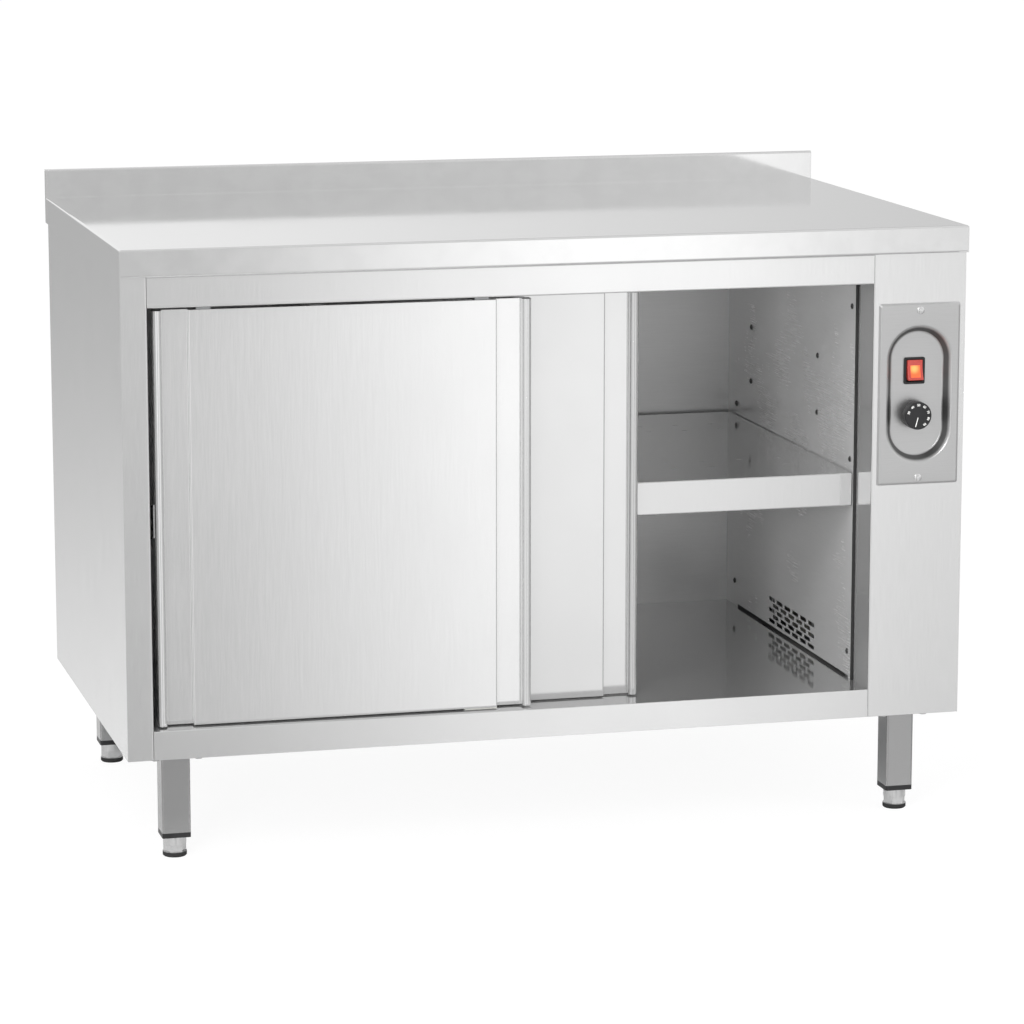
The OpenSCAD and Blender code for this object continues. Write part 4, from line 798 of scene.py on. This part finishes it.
# %% Rocker key
KEY_WIDTH, KEY_HALF, KEY_HOLLOW, KEY_TILT = 22.2 * MM, 14.3 * MM, 2.4 * MM, 12
KEY_FRONT, KEY_SHOULDER, KEY_BEVEL = 8 * MM, 5 * MM, 0.9 * MM
key_back = [(KEY_SHOULDER, KEY_HALF + 0.2 * MM), (0, 13.2 * MM), (-5 * MM, 3 * MM)]
outline = [(KEY_FRONT - KEY_HOLLOW * (1 - (k / 6) ** 2), k / 6 * KEY_HALF) for k in range(-6, 7)]
outline += key_back + [(out, -up) for out, up in reversed(key_back)]
tilt = Matrix.Translation((housing_x, pan_y, housing_z)) @ Matrix.Rotation(
    math.radians(-KEY_TILT), 4, "X")
bm = bmesh.new()
sides = [[bm.verts.new(tilt @ Vector((side * KEY_WIDTH / 2, -out, up))) for out, up in outline]
         for side in (-1, 1)]
bridge(bm, *sides)
for side in sides:
    bm.faces.new(side)
bmesh.ops.recalc_face_normals(bm, faces=bm.faces)
corners = [edge for edge in bm.edges if edge.calc_face_angle(0) > math.radians(25)]
bmesh.ops.bevel(bm, geom=corners, offset=KEY_BEVEL, segments=3, profile=0.6, affect="EDGES",
                clamp_overlap=True)
rocker_key = from_bmesh("rocker_key", bm)

# %% Lit window
WINDOW, WINDOW_EDGE, WINDOW_DROP = (6.6 * MM, 7.8 * MM), 1.1 * MM, 0.6 * MM
BULB_PLACE = (housing_x - 1.6 * MM, housing_low[1] - 4 * MM, housing_z + 3.6 * MM)
BULB_GLOW = (1.5 * MM, 9.5 * MM)
ORANGE, AMBER, DARK_RED = (0.90, 0.16, 0.035, 1), (1.0, 0.60, 0.16, 1), (0.09, 0.008, 0.005, 1)
KEY_RED, WINDOW_RED = (0.42, 0.055, 0.045, 1), (0.30, 0.03, 0.015, 1)
material, tree, shader, place = surface("lit red key", Roughness=0.22, Coat_Weight=0.4,
                                        Coat_Roughness=0.08, Emission_Strength=1.0)
axes = axes_of(tree, place)
aside = maths(tree, "ABSOLUTE", maths(tree, "SUBTRACT", axes["X"], housing_x))
above = maths(tree, "ABSOLUTE", maths(tree, "SUBTRACT", axes["Z"], housing_z - WINDOW_DROP))
window = maths(tree, "MULTIPLY", *(remap(tree, off, half, half + WINDOW_EDGE, 1.0, 0.0)
                                   for off, half in zip((aside, above), WINDOW)))
bulb = put(tree, "ShaderNodeVectorMath", {0: place, 1: BULB_PLACE}, operation="DISTANCE")
near_bulb = remap(tree, bulb.outputs["Value"], *BULB_GLOW, 1.0, 0.0)
glow_out = mixed_colour(tree, window, DARK_RED, mixed_colour(tree, near_bulb, ORANGE, AMBER))
tree.links.new(glow_out, shader.inputs["Emission Color"])
tree.links.new(mixed_colour(tree, window, KEY_RED, WINDOW_RED), shader.inputs["Base Color"])
finish_piece(rocker_key, material, "rocker", "switch_rocker", 40)

# %% [markdown]
# ## Screws from one tree
# Every visible screw here has the same make: a shallow round head with a cross cut into
# it, on a short shank. One Geometry Nodes tree makes that screw from its sizes and puts
# it on each point it is given, turned to the way the point faces. The points come from
# the frame's own screws, so each sits exactly where the construction has one.

# %% Screw tree
CROSS_REACH = 1.15        # the cross's arms, as a share of the head's diameter
SHANK_SHARE = 0.36        # the shank's radius, as a share of the head's


def make_screw_tree():
    """A tree that puts a cross-head screw on every point of a mesh."""
    tree = bpy.data.node_groups.new("cross screws", "GeometryNodeTree")
    tree.is_modifier = True
    sizes = (("Head radius", 5 * MM), ("Head height", 2.5 * MM), ("Shank length", 4 * MM),
             ("Cross width", 1.1 * MM))
    tree.interface.new_socket("Geometry", in_out="INPUT", socket_type="NodeSocketGeometry")
    for socket, value in sizes:
        tree.interface.new_socket(socket, in_out="INPUT", socket_type=FLOAT).default_value = value
    tree.interface.new_socket("Finish", in_out="INPUT", socket_type="NodeSocketMaterial")
    tree.interface.new_socket("Geometry", in_out="OUTPUT", socket_type="NodeSocketGeometry")
    given, out = tree.nodes.new("NodeGroupInput"), tree.nodes.new("NodeGroupOutput")
    radius, height = given.outputs["Head radius"], given.outputs["Head height"]

    def triple(x, y, z):
        return put(tree, "ShaderNodeCombineXYZ", {0: x, 1: y, 2: z}).outputs[0]

    ball = put(tree, "GeometryNodeMeshUVSphere", {"Segments": 24, "Rings": 12, "Radius": 1.0})
    place = axes_of(tree, put(tree, "GeometryNodeInputPosition").outputs[0])
    # a fuller dome than half a ball: the height follows the square root of the ball's
    risen = maths(tree, "SQRT", maths(tree, "MAXIMUM", place["Z"], 0.0))
    dome = put(tree, "GeometryNodeSetPosition", {
        "Geometry": ball.outputs["Mesh"], "Position": triple(place["X"], place["Y"], risen)})
    head = put(tree, "GeometryNodeTransform", {"Geometry": dome.outputs[0],
                                               "Scale": triple(radius, radius, height)})
    long = maths(tree, "MULTIPLY", radius, CROSS_REACH)
    width = given.outputs["Cross width"]
    cut = put(tree, "GeometryNodeMeshBoolean", operation="DIFFERENCE", solver="EXACT")
    tree.links.new(head.outputs[0], cut.inputs["Mesh 1"])
    for arm in (triple(long, width, height), triple(width, long, height)):
        bar = put(tree, "GeometryNodeMeshCube", {"Size": arm})
        lifted = put(tree, "GeometryNodeTransform", {
            "Geometry": bar.outputs["Mesh"], "Translation": triple(0.0, 0.0, height)})
        tree.links.new(lifted.outputs[0], cut.inputs["Mesh 2"])
    shank = put(tree, "GeometryNodeMeshCylinder", {
        "Vertices": 16, "Radius": maths(tree, "MULTIPLY", radius, SHANK_SHARE),
        "Depth": given.outputs["Shank length"]})
    sunk = put(tree, "GeometryNodeTransform", {
        "Geometry": shank.outputs["Mesh"],
        "Translation": triple(0.0, 0.0, maths(tree, "MULTIPLY", given.outputs["Shank length"], -0.5))})
    whole = put(tree, "GeometryNodeJoinGeometry")
    tree.links.new(cut.outputs["Mesh"], whole.inputs[0])
    tree.links.new(sunk.outputs[0], whole.inputs[0])
    facing = put(tree, "GeometryNodeInputNamedAttribute", {"Name": "facing"},
                 data_type="FLOAT_VECTOR").outputs[0]
    turned_to = put(tree, "FunctionNodeAlignRotationToVector", {"Vector": facing}, axis="Z")
    spread = put(tree, "GeometryNodeInstanceOnPoints", {
        "Points": given.outputs["Geometry"], "Instance": whole.outputs[0],
        "Rotation": turned_to.outputs[0]})
    real = put(tree, "GeometryNodeRealizeInstances", {0: spread.outputs[0]})
    dressed = put(tree, "GeometryNodeSetMaterial", {
        "Geometry": real.outputs[0], "Material": given.outputs["Finish"]})
    tree.links.new(dressed.outputs[0], out.inputs[0])
    return tree


SCREW_TREE = make_screw_tree()


def islands(node):
    """The low and high corners of each separate solid in a part of the frame."""
    bm = bmesh.new()
    bm.from_mesh(frame["nodes"][node].data)
    bmesh.ops.remove_doubles(bm, verts=bm.verts, dist=1e-5)
    bm.verts.ensure_lookup_table()
    seen, found = set(), []
    for start in bm.verts:
        if start.index in seen:
            continue
        todo, part = [start], []
        seen.add(start.index)
        while todo:
            vert = todo.pop()
            part.append(vert.co.copy())
            for edge in vert.link_edges:
                other = edge.other_vert(vert)
                if other.index not in seen:
                    seen.add(other.index)
                    todo.append(other)
        found.append([Vector([pick(p[i] for p in part) for i in range(3)]) for pick in (min, max)])
    bm.free()
    return found


def screw_set(name, node, heads, material, **sizes):
    """Screws from the tree at (place, facing) pairs, in place of a part of the frame."""
    mesh = bpy.data.meshes.new(name)
    mesh.from_pydata([place for place, _ in heads], [], [])
    facing = mesh.attributes.new("facing", "FLOAT_VECTOR", "POINT")
    facing.data.foreach_set("vector", [v for _, way in heads for v in way])
    piece = bpy.data.objects.new(name, mesh)
    scene.collection.objects.link(piece)
    modifier = piece.modifiers.new("screws", "NODES")
    modifier.node_group = SCREW_TREE
    keys = {item.name: item.identifier for item in SCREW_TREE.interface.items_tree
            if item.in_out == "INPUT"}
    for size, value in sizes.items():
        modifier[keys[size.replace("_", " ")]] = value
    modifier[keys["Finish"]] = material
    settled(piece)
    print(name, "screws:", len(heads))
    return finish_piece(piece, material, "cabinet", node, 40)


# %% Screws in place
finishes["bright_screw"] = steel("bright screw", 0.92, 0.14, ACROSS)
finishes["dark_screw"] = steel("blackened screw", 0.14, 0.24, ACROSS, metal=0.8)
PLATE_HEAD, CHAMBER_HEAD = 2.6 * MM, 2.4 * MM
heads = []
for low, high in islands("plate_screws"):
    centre = (low + high) / 2
    heads.append(((centre.x, low.y + PLATE_HEAD, centre.z), (0, -1, 0)))
screw_set("plate_screw_heads", "plate_screws", heads, finishes["bright_screw"], Head_radius=5.6 * MM,
          Head_height=PLATE_HEAD, Shank_length=6 * MM, Cross_width=1.3 * MM)

heads = []
for low, high in islands("chamber_screws"):
    centre = (low + high) / 2
    way = 1 if centre.x < 0 else -1
    base = high.x - CHAMBER_HEAD if way > 0 else low.x + CHAMBER_HEAD
    heads.append(((base, centre.y, centre.z), (way, 0, 0)))
screw_set("chamber_screw_heads", "chamber_screws", heads, finishes["dark_screw"],
          Head_radius=4.2 * MM, Head_height=CHAMBER_HEAD, Shank_length=2.2 * MM, Cross_width=1.0 * MM)

# %% [markdown]
# ## A black bead as painted shade beside the duct cover
# A black line runs from top to bottom where the duct cover meets the column's return: it is
# the shade in the gap between them. A black bead stands in that gap as painted shade. It is
# a long bead with a D-shaped section, pushed in between the cover's fold and the return.

# %% Painted shade bead in the gap
GAP_BEAD_PROUD, GAP_BEAD_DEEP, GAP_BEAD_ARCS = 0.6 * MM, 4 * MM, 12
COLUMN_GAP, COVER_GAP, FLOOR_GAP, TOP_GAP = 0.4 * MM, 0.3 * MM, 0.4 * MM, 2 * MM
cover_low, cover_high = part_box("duct_cover")
gap_low, gap_high = column_high[1] + COLUMN_GAP, cover_low[1] - COVER_GAP
gap_bead_z = (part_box("floor_liner")[1][2] + FLOOR_GAP, cover_high[2] - TOP_GAP)
half = (gap_high - gap_low) / 2
middle_x, middle_y = cover_low[0] - GAP_BEAD_PROUD + half, (gap_low + gap_high) / 2
section = [(middle_x - half * math.sin(math.pi * k / GAP_BEAD_ARCS),
            middle_y - half * math.cos(math.pi * k / GAP_BEAD_ARCS)) for k in range(GAP_BEAD_ARCS + 1)]
section += [(middle_x + GAP_BEAD_DEEP, gap_high), (middle_x + GAP_BEAD_DEEP, gap_low)]
bm = bmesh.new()
levels = [[bm.verts.new((x, y, z)) for x, y in section] for z in gap_bead_z]
bridge(bm, *levels)
for level in levels:
    bm.faces.new(level)
# a black bead in the gap: painted shade for the shadow between the cover and the return
gap_shade_bead = from_bmesh("gap_shade_bead", bm)
finish_piece(gap_shade_bead, finishes["rubber"], "cabinet")

# %% [markdown]
# ## Bringing the scene up to date
# The scene is brought up to date before it is closed.

# %% Update the scene
bpy.context.view_layer.update()
